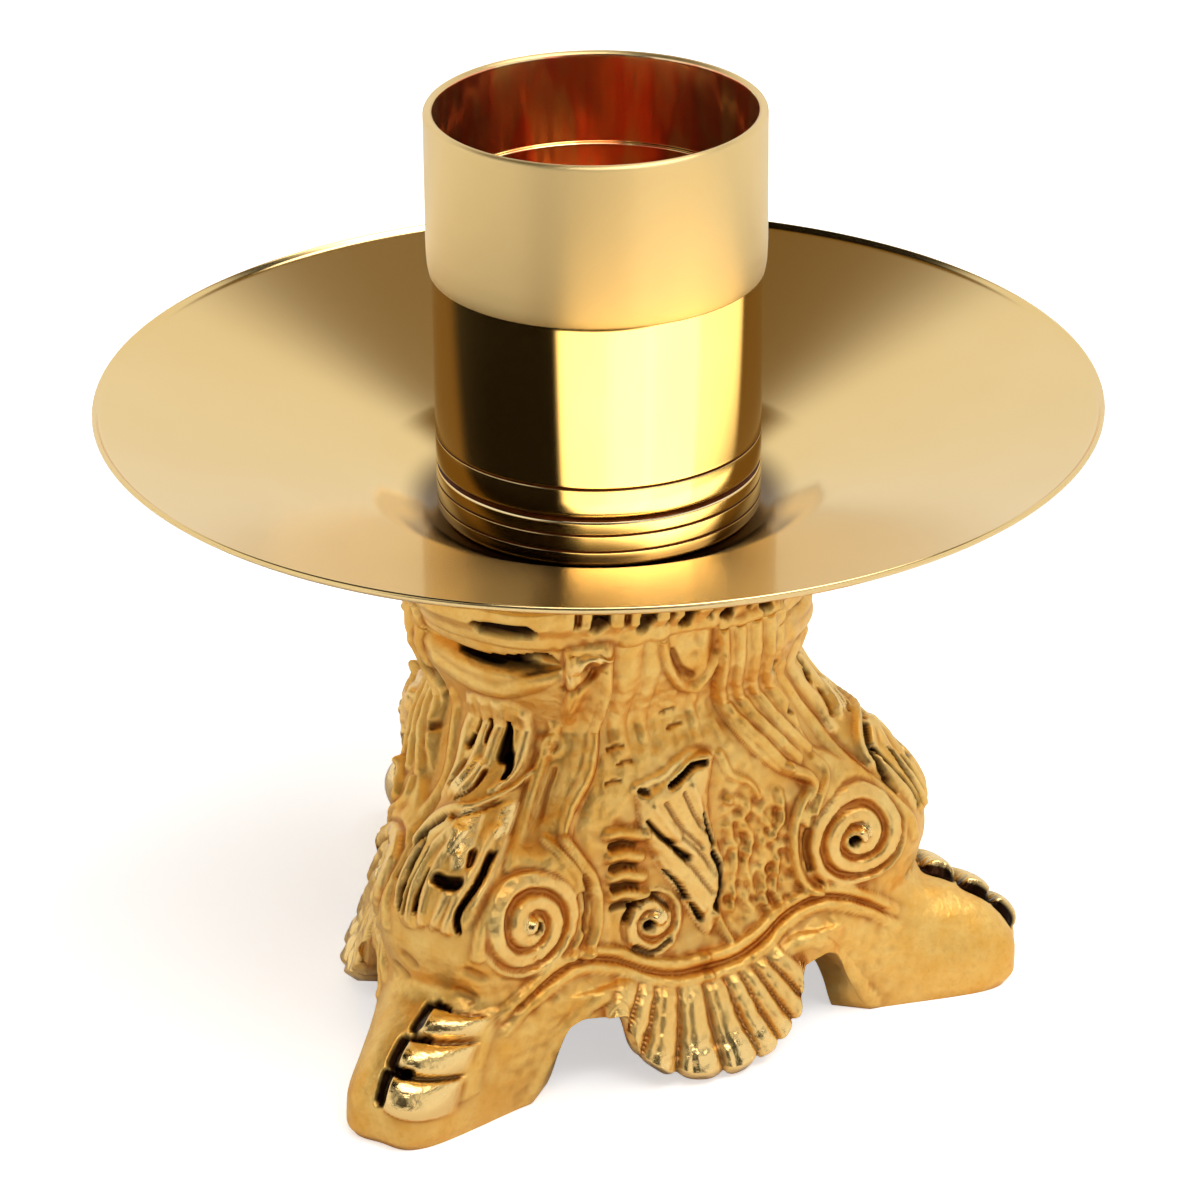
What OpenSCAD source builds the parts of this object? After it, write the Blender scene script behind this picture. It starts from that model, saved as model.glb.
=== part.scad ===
// Candlestick: a hollow cast tripod base with scrolled legs, a spun drip pan and a turned candle cup
// The base stands on the floor at z = 0 and the candle's axis is the Z axis
// One face of the base looks along -Y, and its three feet point to -150, -30 and 90 degrees

/* [Base casting] */
// Height of the casting, from the floor to the flat top of its collar
base_h = 62.8; // [56:0.1:70]
// Reach of the feet from the axis
foot_reach = 53.9; // [50:0.1:58]
// Reach of the scrolled knees from the axis
knee_reach = 41.9; // [39:0.1:44]
// Reach of the collar's three blocks from the axis
collar_reach = 31; // [30:0.1:33]
// Height of the arches between the feet and the shells
arch_h = 10.8; // [7:0.1:12]
// Wall of the hollow casting
base_wall = 3; // [2:0.1:3.5]
// Thickness of the roof that the rod is bolted to
roof_t = 6; // [4:0.1:8]

/* [Scrolls and shells] */
// Radius of the scroll on each side of a knee
scroll_r = 6.4; // [5:0.1:7]
// How far a scroll stands out of the face
scroll_proud = 0.6; // [0.3:0.1:1.2]
// Width of the scroll's rolled rim
scroll_rim_w = 1.6; // [1:0.1:2]
// Radius of the round eye in the middle of the scroll
scroll_eye_r = 2.1; // [1.5:0.1:2.6]
// Height of the scroll's centre above the floor
scroll_z = 25.6; // [24:0.1:27]
// Distance of the scroll's centre from the middle of the face
scroll_off = 23.2; // [22:0.1:24]
// Depth of the flutes in the shell at the foot of each face
flute_d = 0.9; // [0:0.1:1]
// How far the straps, the leaf and the moulding stand out of a face
relief_proud = 1.2; // [0.6:0.1:1.6]
// Width of the straps that run down from the collar to the scrolls, at their widest
strap_w = 8; // [6:0.1:9]
// Width of the leaf in the middle of the face, at its widest
leaf_w = 9; // [7:0.1:10]
// Width of the moulding that runs over the shell and the arches
moulding_w = 2.6; // [2:0.1:3.2]
// Radius of the small scroll beside the leaf
small_scroll_r = 4.4; // [3.6:0.1:5]
// Radius of the toes on the ridge of a foot
toe_r = 2.6; // [2:0.1:3]
// Length of a toe across the foot
toe_w = 9; // [7:0.1:10]

/* [Pan seat] */
// Height of the turned spacer that carries the drip pan
seat_h = 3; // [2.4:0.1:6]
// Radius of the spacer at its foot
seat_r = 19; // [17:0.1:20]
// Radius of the spacer at its waist
seat_waist_r = 16.5; // [12:0.1:17]
// Radius of the spacer where the pan lies on it
seat_top_r = 17.5; // [16:0.1:19]
// Thickness of the spacer's two flanges
seat_flange_t = 0.9; // [0.6:0.1:1]

/* [Drip pan] */
// Outer radius of the drip pan
pan_r = 63.4; // [58:0.1:70]
// Thickness of the pan's sheet
pan_t = 1.2; // [0.8:0.1:1.6]
// Radius of the ring where the pan's cone meets its well
pan_well_r = 28.8; // [26:0.1:34]
// Depth of the well, from that ring to the flat centre
pan_well_d = 4.2; // [3:0.1:5]
// Rise of the pan's cone, from that ring to the rim
pan_rise = 11; // [6:0.1:13]
// Radius of the bead rolled round the pan's rim
pan_bead_r = 0.65; // [0.6:0.05:1]
// Room between the cup's edge and the foot of the well
pan_flat_room = 0.6; // [0.3:0.1:1.5]

/* [Candle cup] */
// Outer radius of the polished cup
cup_r = 20.5; // [19:0.1:23]
// Height of the cup, from the pan to its mouth
cup_h = 41; // [34:0.5:50]
// Wall of the cup round the candle
cup_wall = 0.9; // [0.7:0.1:1.2]
// Thickness of the cup's floor
cup_floor_t = 8; // [7:0.1:10]
// Height of the turned groove above the pan
groove_z = 6.7; // [5:0.1:9]
// Width of the turned groove
groove_w = 0.9; // [0.5:0.1:1.4]
// Depth of the turned groove
groove_d = 0.55; // [0.3:0.05:0.8]
// Size of the chamfer round the cup's foot
cup_edge = 0.6; // [0.3:0.1:1]

/* [Cup sleeve] */
// How far the satin ring stands out of the cup that it slips over
sleeve_proud = 0.7; // [0.6:0.1:1.1]
// Height of the whole ring
sleeve_h = 21; // [16:0.5:26]
// Height of the ring's skirt, which goes round the cup
sleeve_skirt = 9; // [6:0.1:12]
// How far the ring reaches in over the cup's mouth
sleeve_lip = 0.5; // [0.3:0.1:0.7]
// Height over which the skirt's outside draws in at its lower edge
sleeve_taper_h = 3.4; // [2:0.1:5]
// How far the skirt's outside draws in
sleeve_taper_d = 0.35; // [0.2:0.05:0.4]

/* [Rod and fasteners] */
// Radius of the threaded rod
rod_r = 4; // [3:0.5:5]
// Thread that stays above the pan, inside the cup's floor
rod_grip = 7; // [5:0.1:7.5]
// Rod that stands out below the nut
rod_tail = 3; // [1:0.1:6]
// Width of the nut across its flats
nut_af = 13; // [12:0.5:17]
// Height of the nut
nut_h = 6.5; // [5:0.1:8]
// Radius of the flat washer
washer_r = 11; // [9:0.1:12]
// Thickness of the flat washer
washer_t = 1.6; // [1:0.1:2]
// Outer radius of the split lock washer
lock_r = 7.1; // [6.6:0.1:8]
// Thickness of the lock washer
lock_t = 2; // [1.5:0.1:2.5]
// Gap in the lock washer
lock_gap = 1.4; // [1:0.1:2]
// Radius of the threaded bush in the cup's floor
bush_r = 7; // [6:0.1:9]
// Radius of the bush's flange
bush_flange_r = 9; // [8:0.1:11]
// Thickness of the bush's flange
bush_flange_t = 1.5; // [1:0.1:2.5]
// Radius of the leather washer under the cup
gasket_r = 14; // [12:0.1:16]
// Thickness of the leather washer
gasket_t = 0.8; // [0.5:0.1:1.2]

/* [Hidden] */
$fn = 96;

// Radial room between a thread and its hole
thread_gap = 0.05;
// Radial room round the rod in the pieces that it only passes through
rod_gap = 0.4;
// Radial room between the ring's skirt and the cup
slip_gap = 0.05;
// Radial room round the leather washer in the recess under the cup
gasket_gap = 0.3;
// How far a cut runs past the face that it opens
over = 0.5;

seat_z = base_h;
pan_z = seat_z + seat_h + pan_t;
well_z = pan_z + pan_well_d;
rim_z = well_z + pan_rise;
pan_flat_r = cup_r + pan_flat_room;
cup_top_z = pan_z + cup_h;
cup_bore_r = cup_r - cup_wall;
sleeve_r = cup_r + sleeve_proud;
sleeve_bore_r = cup_r - sleeve_lip;
roof_z = base_h - roof_t;
washer_z = roof_z - washer_t;
lock_z = washer_z - lock_t;
nut_z = lock_z - nut_h;

// Each third of the base is two mirrored halves, from the middle of a foot to the middle of a face
faces = 3;
sector = 360 / faces;
half_sector = sector / 2;
first_foot = -150;

// One row for each level of the casting. The columns are the height as a share of base_h, the size that
// the row follows (0 foot, 1 knee, 2 collar), then shares of that size: the reach at the middle of the
// foot, the corner out and across, and three points of the face, each as its distance out and the
// distance along from the middle of the face, and last the distance out at that middle
section_shares = [
    [0.000, 0, 0.975, 0.935, 0.106, 0.497, 0.436, 0.523, 0.320, 0.580, 0.165, 0.622],
    [0.027, 0, 0.998, 0.952, 0.110, 0.500, 0.433, 0.523, 0.320, 0.572, 0.165, 0.604],
    [0.073, 0, 1.000, 0.950, 0.108, 0.503, 0.428, 0.524, 0.320, 0.560, 0.165, 0.572],
    [0.127, 0, 0.972, 0.915, 0.100, 0.507, 0.418, 0.528, 0.320, 0.547, 0.165, 0.549],
    [0.167, 0, 0.928, 0.870, 0.092, 0.511, 0.408, 0.530, 0.320, 0.536, 0.165, 0.534],
    [0.192, 0, 0.878, 0.826, 0.090, 0.513, 0.403, 0.530, 0.320, 0.528, 0.165, 0.523],
    [0.212, 0, 0.832, 0.785, 0.096, 0.514, 0.402, 0.528, 0.320, 0.520, 0.165, 0.510],
    [0.232, 1, 0.995, 0.950, 0.146, 0.657, 0.525, 0.664, 0.410, 0.650, 0.218, 0.640],
    [0.260, 1, 0.966, 0.923, 0.168, 0.636, 0.534, 0.637, 0.410, 0.626, 0.225, 0.618],
    [0.301, 1, 0.986, 0.934, 0.184, 0.620, 0.548, 0.618, 0.410, 0.600, 0.235, 0.594],
    [0.350, 1, 1.000, 0.945, 0.190, 0.616, 0.554, 0.612, 0.410, 0.592, 0.240, 0.588],
    [0.404, 1, 0.993, 0.940, 0.188, 0.615, 0.551, 0.610, 0.408, 0.588, 0.238, 0.585],
    [0.454, 1, 0.967, 0.904, 0.174, 0.610, 0.528, 0.606, 0.398, 0.583, 0.228, 0.580],
    [0.499, 1, 0.922, 0.844, 0.158, 0.597, 0.484, 0.596, 0.378, 0.580, 0.215, 0.577],
    [0.545, 1, 0.864, 0.758, 0.147, 0.564, 0.444, 0.578, 0.345, 0.577, 0.195, 0.577],
    [0.604, 1, 0.772, 0.664, 0.143, 0.528, 0.380, 0.560, 0.288, 0.570, 0.166, 0.573],
    [0.667, 2, 0.903, 0.813, 0.206, 0.677, 0.468, 0.716, 0.342, 0.735, 0.197, 0.739],
    [0.709, 2, 0.839, 0.768, 0.219, 0.639, 0.452, 0.671, 0.326, 0.684, 0.194, 0.690],
    [0.740, 2, 0.800, 0.739, 0.223, 0.616, 0.439, 0.645, 0.316, 0.655, 0.194, 0.658],
    [0.779, 2, 0.819, 0.761, 0.223, 0.635, 0.448, 0.665, 0.323, 0.674, 0.194, 0.677],
    [0.820, 2, 0.855, 0.797, 0.226, 0.671, 0.465, 0.703, 0.332, 0.713, 0.197, 0.719],
    [0.863, 2, 0.874, 0.819, 0.226, 0.694, 0.474, 0.729, 0.339, 0.742, 0.197, 0.748],
    [0.877, 2, 0.845, 0.794, 0.223, 0.690, 0.465, 0.732, 0.335, 0.745, 0.197, 0.752],
    [0.890, 2, 0.797, 0.752, 0.219, 0.684, 0.448, 0.732, 0.332, 0.748, 0.197, 0.755],
    [0.909, 2, 0.871, 0.832, 0.216, 0.694, 0.474, 0.735, 0.335, 0.752, 0.197, 0.758],
    [0.938, 2, 0.890, 0.855, 0.216, 0.703, 0.484, 0.742, 0.342, 0.761, 0.200, 0.768],
    [0.947, 2, 0.935, 0.903, 0.216, 0.713, 0.506, 0.765, 0.352, 0.794, 0.203, 0.803],
    [0.971, 2, 0.952, 0.919, 0.219, 0.726, 0.516, 0.777, 0.358, 0.810, 0.206, 0.819],
    [1.000, 2, 1.000, 0.968, 0.226, 0.758, 0.535, 0.823, 0.368, 0.861, 0.213, 0.871]];

// Lower edge of the casting between a foot and the middle of a face: the way along the half sector, and
// the height as a share of arch_h
edge_shares = [
    [0.000, 0.000], [0.380, 0.000], [0.400, 0.120], [0.433, 0.430], [0.480, 0.740], [0.545, 0.940],
    [0.600, 1.000], [0.690, 1.000], [0.716, 0.630], [0.743, 0.440], [0.785, 0.280], [0.831, 0.140],
    [0.920, 0.055], [1.000, 0.030]];
// Places along the half sector where the skin has its columns of points
column_shares = [0.000, 0.110, 0.210, 0.300, 0.380, 0.400, 0.433, 0.480, 0.545, 0.600, 0.690, 0.716,
    0.743, 0.785, 0.831, 0.875, 0.920, 0.960];
// Places along the half sector where the hollow has its columns of points
hollow_column_shares = [0.000, 0.120, 0.250, 0.400, 0.550, 0.700, 0.850];
// Levels below this share of base_h are squeezed up over the arches
squeeze_share = 0.232;
// The shell's flutes run between these places along the half sector, and up to this level
flute_from_share = 0.7;
flute_top_share = 0.192;
// The hollow ends short of the feet, which are solid: its reach under them as a share of the knee's
hollow_reach_share = 0.86;
// A scroll's back is sunk this deep in the wall
scroll_root = base_wall / 2;
// The eye's centre lies this share of its radius behind the scroll's face
eye_sunk_share = 0.4;
// The small scroll's centre, along as a share of scroll_off and up as a share of base_h
small_scroll_shares = [-0.3, 0.334];
// Routes of the raised bands on a face, from the top down or from the left to the right. The columns
// are the way along as a share of scroll_off, the height as a share of base_h, and the width as a share
// of the band's own
left_strap_shares = [
    [-0.530, 0.870, 0.650], [-0.560, 0.790, 0.700], [-0.620, 0.720, 0.800], [-0.700, 0.640, 0.950],
    [-0.790, 0.560, 1.000], [-0.890, 0.490, 0.900]];
right_strap_shares = [
    [0.450, 0.870, 0.650], [0.430, 0.790, 0.750], [0.480, 0.710, 0.900], [0.580, 0.640, 1.000],
    [0.720, 0.565, 1.000], [0.870, 0.490, 0.900]];
leaf_shares = [
    [-0.100, 0.685, 0.800], [-0.090, 0.620, 1.000], [-0.030, 0.550, 0.950], [0.050, 0.465, 0.800],
    [0.120, 0.370, 0.500]];
moulding_shares = [
    [-0.960, 0.270, 0.800], [-0.720, 0.296, 1.000], [-0.450, 0.275, 1.000], [-0.220, 0.257, 1.000],
    [0.000, 0.250, 1.000], [0.220, 0.257, 1.000], [0.450, 0.275, 1.000], [0.720, 0.296, 1.000],
    [0.960, 0.270, 0.800]];
// A band's top is this share of its width, and its sides slope down from there
band_top_share = 0.62;
// Height of each toe on the ridge of the foot as a share of base_h
toe_level_shares = [0.110, 0.163, 0.207];
// A toe's middle lies this share of its radius behind and below the ridge
toe_sunk_share = 0.55;
toe_sides = 24;
// The collar's corner wall is thicker than its face wall by this share
corner_wall_share = 1.25;

// The spacer's waist lies between these shares of its height
waist_shares = [0.4, 0.6];

function row_size(row) = row[1] == 0 ? foot_reach : row[1] == 1 ? knee_reach : collar_reach;
function column(i) = [for (row = section_shares) [row[0], row[i] * row_size(row)]];

columns = [for (i = [2:11]) column(i)];

// A point of the face, given by its distances out and along, in the axes of the foot beside it
function from_face(out, along) =
    [out * cos(half_sector) + along * sin(half_sector), out * sin(half_sector) - along * cos(half_sector)];

// The six guide points of a level's outline, from the middle of the foot to the middle of the face
function outer_guides(level) =
    let (v = [for (c = columns) lookup(level, c)])
    [[v[0], 0], [v[1], v[2]], from_face(v[3], v[4]), from_face(v[5], v[6]), from_face(v[7], v[8]),
        from_face(v[9], 0)];

function inner_guides(level) =
    let (v = [for (c = columns) lookup(level, c)])
    let (reach = min(v[0], knee_reach * hollow_reach_share + base_wall) - base_wall * corner_wall_share)
    let (corner = min(v[1] - base_wall, reach - base_wall / 2))
    [[reach, 0], [corner, v[2] - base_wall / 2], from_face(v[3] - base_wall, min(v[4], v[3]) - base_wall),
        from_face(v[5] - base_wall, min(v[6], v[5] / 2)), from_face(v[7] - base_wall, v[8]),
        from_face(v[9] - base_wall, 0)];

function mirrored(p, angle) =
    [p[0] * cos(2 * angle) + p[1] * sin(2 * angle), p[0] * sin(2 * angle) - p[1] * cos(2 * angle)];

// A smooth curve through the guide points that leaves each end square to its mirror line
function curve_at(guides, t) =
    let (n = len(guides) - 1)
    let (k = min(floor(t * n), n - 1))
    let (f = t * n - k)
    let (b = guides[k])
    let (c = guides[k + 1])
    let (a = k == 0 ? mirrored(c, 0) : guides[k - 1])
    let (d = k == n - 1 ? mirrored(b, half_sector) : guides[k + 2])
    (2 * b + f * (c - a) + pow(f, 2) * (2 * a - 5 * b + 4 * c - d)
        + pow(f, 3) * (3 * b - a - 3 * c + d)) / 2;

// The whole way round: each third runs from a foot to the next face and, mirrored, on to the next foot
function count_round(ways) = 2 * len(ways) * faces;
function way_at(ways, i) =
    let (steps = len(ways))
    let (k = i % (2 * steps))
    k < steps ? ways[k] : k == steps ? 1 : ways[2 * steps - k];
function turned(ways, p, i) =
    let (steps = len(ways))
    let (third = floor(i / (2 * steps)))
    let (q = i % (2 * steps) <= steps ? p : mirrored(p, half_sector))
    let (angle = first_foot + third * sector)
    [q[0] * cos(angle) - q[1] * sin(angle), q[0] * sin(angle) + q[1] * cos(angle)];

function edge_z(way) = arch_h * lookup(way, edge_shares);
function level_z(level, way) =
    let (top = squeeze_share * base_h)
    level >= squeeze_share ? level * base_h : edge_z(way) + (top - edge_z(way)) * level / squeeze_share;
// Every second column of the shell lies in a flute, which dies out at the shell's top
function flute_at(i, level, way) =
    way < flute_from_share || i % 2 == 0 ? 0 : flute_d * max(0, 1 - level / flute_top_share);

function outer_points(levels) =
    [for (level = levels) let (guides = outer_guides(level))
        for (i = [0:count_round(column_shares) - 1])
            let (way = way_at(column_shares, i))
            let (p = turned(column_shares, curve_at(guides, way), i))
            let (q = p * (1 - flute_at(i, level, way) / norm(p)))
            [q[0], q[1], level_z(level, way)]];

function inner_points(levels) =
    [for (level = levels) let (guides = inner_guides(level))
        for (i = [0:count_round(hollow_column_shares) - 1])
            let (way = way_at(hollow_column_shares, i))
            let (p = turned(hollow_column_shares, curve_at(guides, way), i))
            [p[0], p[1], level * base_h]];

function skin_faces(rings, count) =
    [for (j = [0:rings - 2]) for (i = [0:count - 1])
        let (a = j * count + i)
        let (b = j * count + (i + 1) % count)
        each [[a, a + count, b], [b, a + count, b + count]]];

outer_levels = [for (row = section_shares) row[0]];
roof_level = roof_z / base_h;
inner_levels = concat([-over / base_h], [for (level = outer_levels) if (level < roof_level) level],
    [roof_level]);

module scrolled_body() {
    rings = len(outer_levels);
    count = count_round(column_shares);
    top = (rings - 1) * count;
    low = rings * count;
    // A second ring near the axis, level with the lower edge, keeps that edge flat across the wall
    low_ring = [for (i = [0:count - 1])
        let (angle = first_foot + i * 360 / count)
        [rod_r * cos(angle), rod_r * sin(angle), edge_z(way_at(column_shares, i))]];
    points = concat(outer_points(outer_levels), low_ring, [[0, 0, base_h], [0, 0, 0]]);
    top_mid = len(points) - 2;
    low_mid = len(points) - 1;
    ends = [for (i = [0:count - 1])
        let (n = (i + 1) % count)
        each [[top + i, top_mid, top + n], [i, n, low + i], [n, low + n, low + i],
            [low + i, low + n, low_mid]]];
    polyhedron(points, concat(skin_faces(rings, count), ends), convexity = 10);
}

module hollow() {
    rings = len(inner_levels);
    count = count_round(hollow_column_shares);
    top = (rings - 1) * count;
    points = concat(inner_points(inner_levels), [[0, 0, roof_z], [0, 0, -over]]);
    top_mid = len(points) - 2;
    low_mid = len(points) - 1;
    ends = [for (i = [0:count - 1])
        let (n = (i + 1) % count)
        each [[top + i, top_mid, top + n], [i, n, low_mid]]];
    polyhedron(points, concat(skin_faces(rings, count), ends), convexity = 10);
}

// Distance out of the face's surface at a level and a way along
function face_out(level, along) =
    let (v = [for (c = columns) lookup(level, c)])
    lookup(abs(along), [[0, v[9]], [v[8], v[7]], [v[6], v[5]], [v[4], v[3]]]);

// A point at this height over the face, in the face's own axes
function on_face(place, proud) =
    [face_out(place[1] / base_h, place[0]) + proud, place[0], place[1]];

// A raised band along a route on the face, with a flat top and sloping sides, its root in the wall
module band(route_shares, width) {
    route = [for (r = route_shares) [r[0] * scroll_off, r[1] * base_h]];
    last = len(route) - 1;
    points = [for (k = [0:last])
        let (way = route[min(k + 1, last)] - route[max(k - 1, 0)])
        let (across = [way[1], -way[0]] / norm(way) * route_shares[k][2] * width / 2)
        let (top = across * band_top_share)
        each [on_face(route[k] + across, -scroll_root), on_face(route[k] + top, relief_proud),
            on_face(route[k] - top, relief_proud), on_face(route[k] - across, -scroll_root)]];
    sides = [for (k = [0:last - 1]) for (i = [0:3])
        let (a = 4 * k + i)
        let (b = 4 * k + (i + 1) % 4)
        each [[a, b, a + 4], [b, b + 4, a + 4]]];
    end = 4 * last;
    ends = [[0, 2, 1], [0, 3, 2], [end, end + 1, end + 2], [end, end + 2, end + 3]];
    polyhedron(points, concat(sides, ends), convexity = 6);
}

// One scroll, lying with its back in the face and its rolled rim and eye standing out of it
module scroll(r) {
    rotate_extrude()
    polygon([
        [0, -scroll_root], [r, -scroll_root], [r, scroll_proud], [r - scroll_rim_w, scroll_proud],
        [r - scroll_rim_w, 0], [0, 0]]);
    eye_r = scroll_eye_r * r / scroll_r;
    translate([0, 0, -eye_r * eye_sunk_share])
    sphere(r = eye_r);
}

module placed_scroll(along, z, r) {
    translate([face_out(z / base_h, along), along, z])
    rotate([0, 90, 0])
    scroll(r);
}

// The relief of one face, in the face's own axes
module face_relief() {
    for (side = [-1, 1])
        placed_scroll(side * scroll_off, scroll_z, scroll_r);
    placed_scroll(small_scroll_shares[0] * scroll_off, small_scroll_shares[1] * base_h, small_scroll_r);
    band(left_strap_shares, strap_w);
    band(right_strap_shares, strap_w);
    band(leaf_shares, leaf_w);
    band(moulding_shares, moulding_w);
}

// The toes across the ridge of one foot, in the foot's own axes
module toes() {
    toe_sunk = toe_r * toe_sunk_share;
    for (level = toe_level_shares)
        translate([lookup(level, columns[0]) - toe_sunk, 0, level * base_h - toe_sunk])
        scale([1, toe_w / 2 / toe_r, 1])
        sphere(r = toe_r, $fn = toe_sides);
}

module relief() {
    for (i = [0:faces - 1]) {
        rotate([0, 0, first_foot + half_sector + i * sector])
        face_relief();
        rotate([0, 0, first_foot + i * sector])
        toes();
    }
}

module base_casting() {
    color([0.83, 0.6, 0.24])
    difference() {
        union() {
            scrolled_body();
            relief();
        }
        hollow();
        translate([0, 0, roof_z - over])
        cylinder(h = roof_t + 2 * over, r = rod_r + rod_gap);
    }
}

module pan_seat() {
    color([0.85, 0.66, 0.32])
    translate([0, 0, seat_z])
    rotate_extrude()
    polygon([
        [rod_r + thread_gap, 0], [seat_r, 0], [seat_r, seat_flange_t],
        [seat_waist_r, seat_h * waist_shares[0]], [seat_waist_r, seat_h * waist_shares[1]],
        [seat_top_r, seat_h - seat_flange_t], [seat_top_r, seat_h], [rod_r + thread_gap, seat_h]]);
}

module drip_pan() {
    color([0.93, 0.78, 0.48])
    rotate_extrude()
    union() {
        polygon([
            [rod_r + rod_gap, pan_z - pan_t], [pan_flat_r, pan_z - pan_t], [pan_well_r, well_z - pan_t],
            [pan_r - pan_bead_r, rim_z - pan_bead_r - pan_t], [pan_r - pan_bead_r, rim_z - pan_bead_r],
            [pan_well_r, well_z], [pan_flat_r, pan_z], [rod_r + rod_gap, pan_z]]);
        translate([pan_r - pan_bead_r, rim_z - pan_bead_r])
        circle(r = pan_bead_r);
    }
}

module cup_washer() {
    color([0.35, 0.2, 0.11])
    translate([0, 0, pan_z])
    difference() {
        cylinder(h = gasket_t, r = gasket_r);
        translate([0, 0, -over])
        cylinder(h = gasket_t + 2 * over, r = rod_r + rod_gap);
    }
}

module candle_cup() {
    color([0.9, 0.68, 0.28])
    translate([0, 0, pan_z])
    rotate_extrude()
    polygon([
        [gasket_r + gasket_gap, 0], [cup_r - cup_edge, 0], [cup_r, cup_edge],
        [cup_r, groove_z - groove_w / 2], [cup_r - groove_d, groove_z], [cup_r, groove_z + groove_w / 2],
        [cup_r, cup_h], [cup_bore_r, cup_h], [cup_bore_r, cup_floor_t], [bush_flange_r, cup_floor_t],
        [bush_flange_r, cup_floor_t - bush_flange_t], [bush_r, cup_floor_t - bush_flange_t],
        [bush_r, gasket_t], [gasket_r + gasket_gap, gasket_t]]);
}

module cup_bush() {
    color([0.78, 0.6, 0.3])
    translate([0, 0, pan_z])
    rotate_extrude()
    polygon([
        [rod_r + thread_gap, gasket_t], [bush_r, gasket_t], [bush_r, cup_floor_t - bush_flange_t],
        [bush_flange_r, cup_floor_t - bush_flange_t], [bush_flange_r, cup_floor_t],
        [rod_r + thread_gap, cup_floor_t]]);
}

module cup_sleeve() {
    round_r = (sleeve_r - sleeve_bore_r) / 2;
    color([0.92, 0.76, 0.44])
    translate([0, 0, cup_top_z - sleeve_skirt])
    rotate_extrude()
    union() {
        polygon([
            [cup_r + slip_gap, 0], [sleeve_r - sleeve_taper_d, 0], [sleeve_r, sleeve_taper_h],
            [sleeve_r, sleeve_h - round_r], [sleeve_bore_r, sleeve_h - round_r],
            [sleeve_bore_r, sleeve_skirt], [cup_r + slip_gap, sleeve_skirt]]);
        translate([sleeve_bore_r + round_r, sleeve_h - round_r])
        circle(r = round_r);
    }
}

module threaded_rod() {
    low = nut_z - rod_tail;
    color([0.72, 0.72, 0.7])
    translate([0, 0, low])
    cylinder(h = pan_z + rod_grip - low, r = rod_r);
}

module flat_washer() {
    color([0.75, 0.75, 0.73])
    translate([0, 0, washer_z])
    difference() {
        cylinder(h = washer_t, r = washer_r);
        translate([0, 0, -over])
        cylinder(h = washer_t + 2 * over, r = rod_r + rod_gap);
    }
}

module lock_washer() {
    color([0.68, 0.68, 0.66])
    translate([0, 0, lock_z])
    difference() {
        cylinder(h = lock_t, r = lock_r);
        translate([0, 0, -over])
        cylinder(h = lock_t + 2 * over, r = rod_r + rod_gap);
        translate([0, -lock_gap / 2, -over])
        cube([lock_r + over, lock_gap, lock_t + 2 * over]);
    }
}

module base_nut() {
    color([0.7, 0.7, 0.68])
    translate([0, 0, nut_z])
    difference() {
        cylinder(h = nut_h, r = nut_af / 2 / cos(30), $fn = 6);
        translate([0, 0, -over])
        cylinder(h = nut_h + 2 * over, r = rod_r + thread_gap);
    }
}

base_casting();
pan_seat();
drip_pan();
cup_washer();
candle_cup();
cup_bush();
cup_sleeve();
threaded_rod();
flat_washer();
lock_washer();
base_nut();
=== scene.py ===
import math

import bmesh
import bpy
import numpy as np
from mathutils import Matrix, Vector


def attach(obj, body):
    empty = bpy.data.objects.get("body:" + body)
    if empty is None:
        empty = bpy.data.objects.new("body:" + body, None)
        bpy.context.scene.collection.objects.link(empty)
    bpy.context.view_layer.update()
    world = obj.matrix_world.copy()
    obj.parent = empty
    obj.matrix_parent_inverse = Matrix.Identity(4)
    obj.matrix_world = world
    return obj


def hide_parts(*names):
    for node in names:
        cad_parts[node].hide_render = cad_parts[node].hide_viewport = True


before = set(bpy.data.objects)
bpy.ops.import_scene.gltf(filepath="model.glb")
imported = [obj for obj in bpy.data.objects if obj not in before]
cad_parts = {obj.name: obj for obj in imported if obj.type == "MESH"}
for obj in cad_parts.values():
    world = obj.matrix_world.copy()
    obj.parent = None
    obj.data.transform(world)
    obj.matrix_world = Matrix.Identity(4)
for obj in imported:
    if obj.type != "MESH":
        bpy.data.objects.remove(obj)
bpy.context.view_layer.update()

# Lengths are written in millimetres and turned to metres where a mesh is made
MM = 0.001

# Camera, solved from the rim, the pan, the groove and the feet in the photograph
CAMERA_AZIMUTH = -118.0
CAMERA_PITCH = 25.216
CAMERA_ROLL = -0.523
CAMERA_DISTANCE = 683.7
TARGET_Z = 53.3
SENSOR = 36.0
LENS = 160.77
# The height that the lamp looks at
MIDDLE_Z = 60.0

# The floor, the levels of the studio's light, and the colour of its ceiling
FLOOR_R = 3000.0
WALL_LEVEL = 0.9
SOURCE_LEVEL = 4.2
FLOOR_GLOW = 0.55
CEILING_BROWN = (0.19, 0.115, 0.028, 1.0)
WHITE = (1.0, 1.0, 1.0, 1.0)

# Sizes of the metalwork, as in the CAD model
BASE_H = 62.8
FOOT_REACH = 53.9
KNEE_REACH = 41.9
COLLAR_REACH = 31.0
ARCH_H = 10.8
WALL = 3.0
# The hollow reaches this share of the knee's reach, and its wall is this much thicker at the feet
HOLLOW_SHARE = 0.86
FOOT_WALL_SHARE = 1.25
PAN_Z = 67.0
PAN_T = 1.2
PAN_R = 63.4
WELL_R = 28.8
WELL_Z = 71.2
RIM_Z = 82.2
# The rolled rim's outline, from its outermost radius and its top
RIM_OUTLINE = ((-1.05, -0.75), (-0.35, 0.0), (0.0, -0.6), (-0.65, -1.3))
PAN_FLAT_R = 21.1
CUP_R = 20.5
CUP_H = 41.0
CUP_BORE_R = 19.6
CUP_FLOOR_T = 8.0
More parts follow.
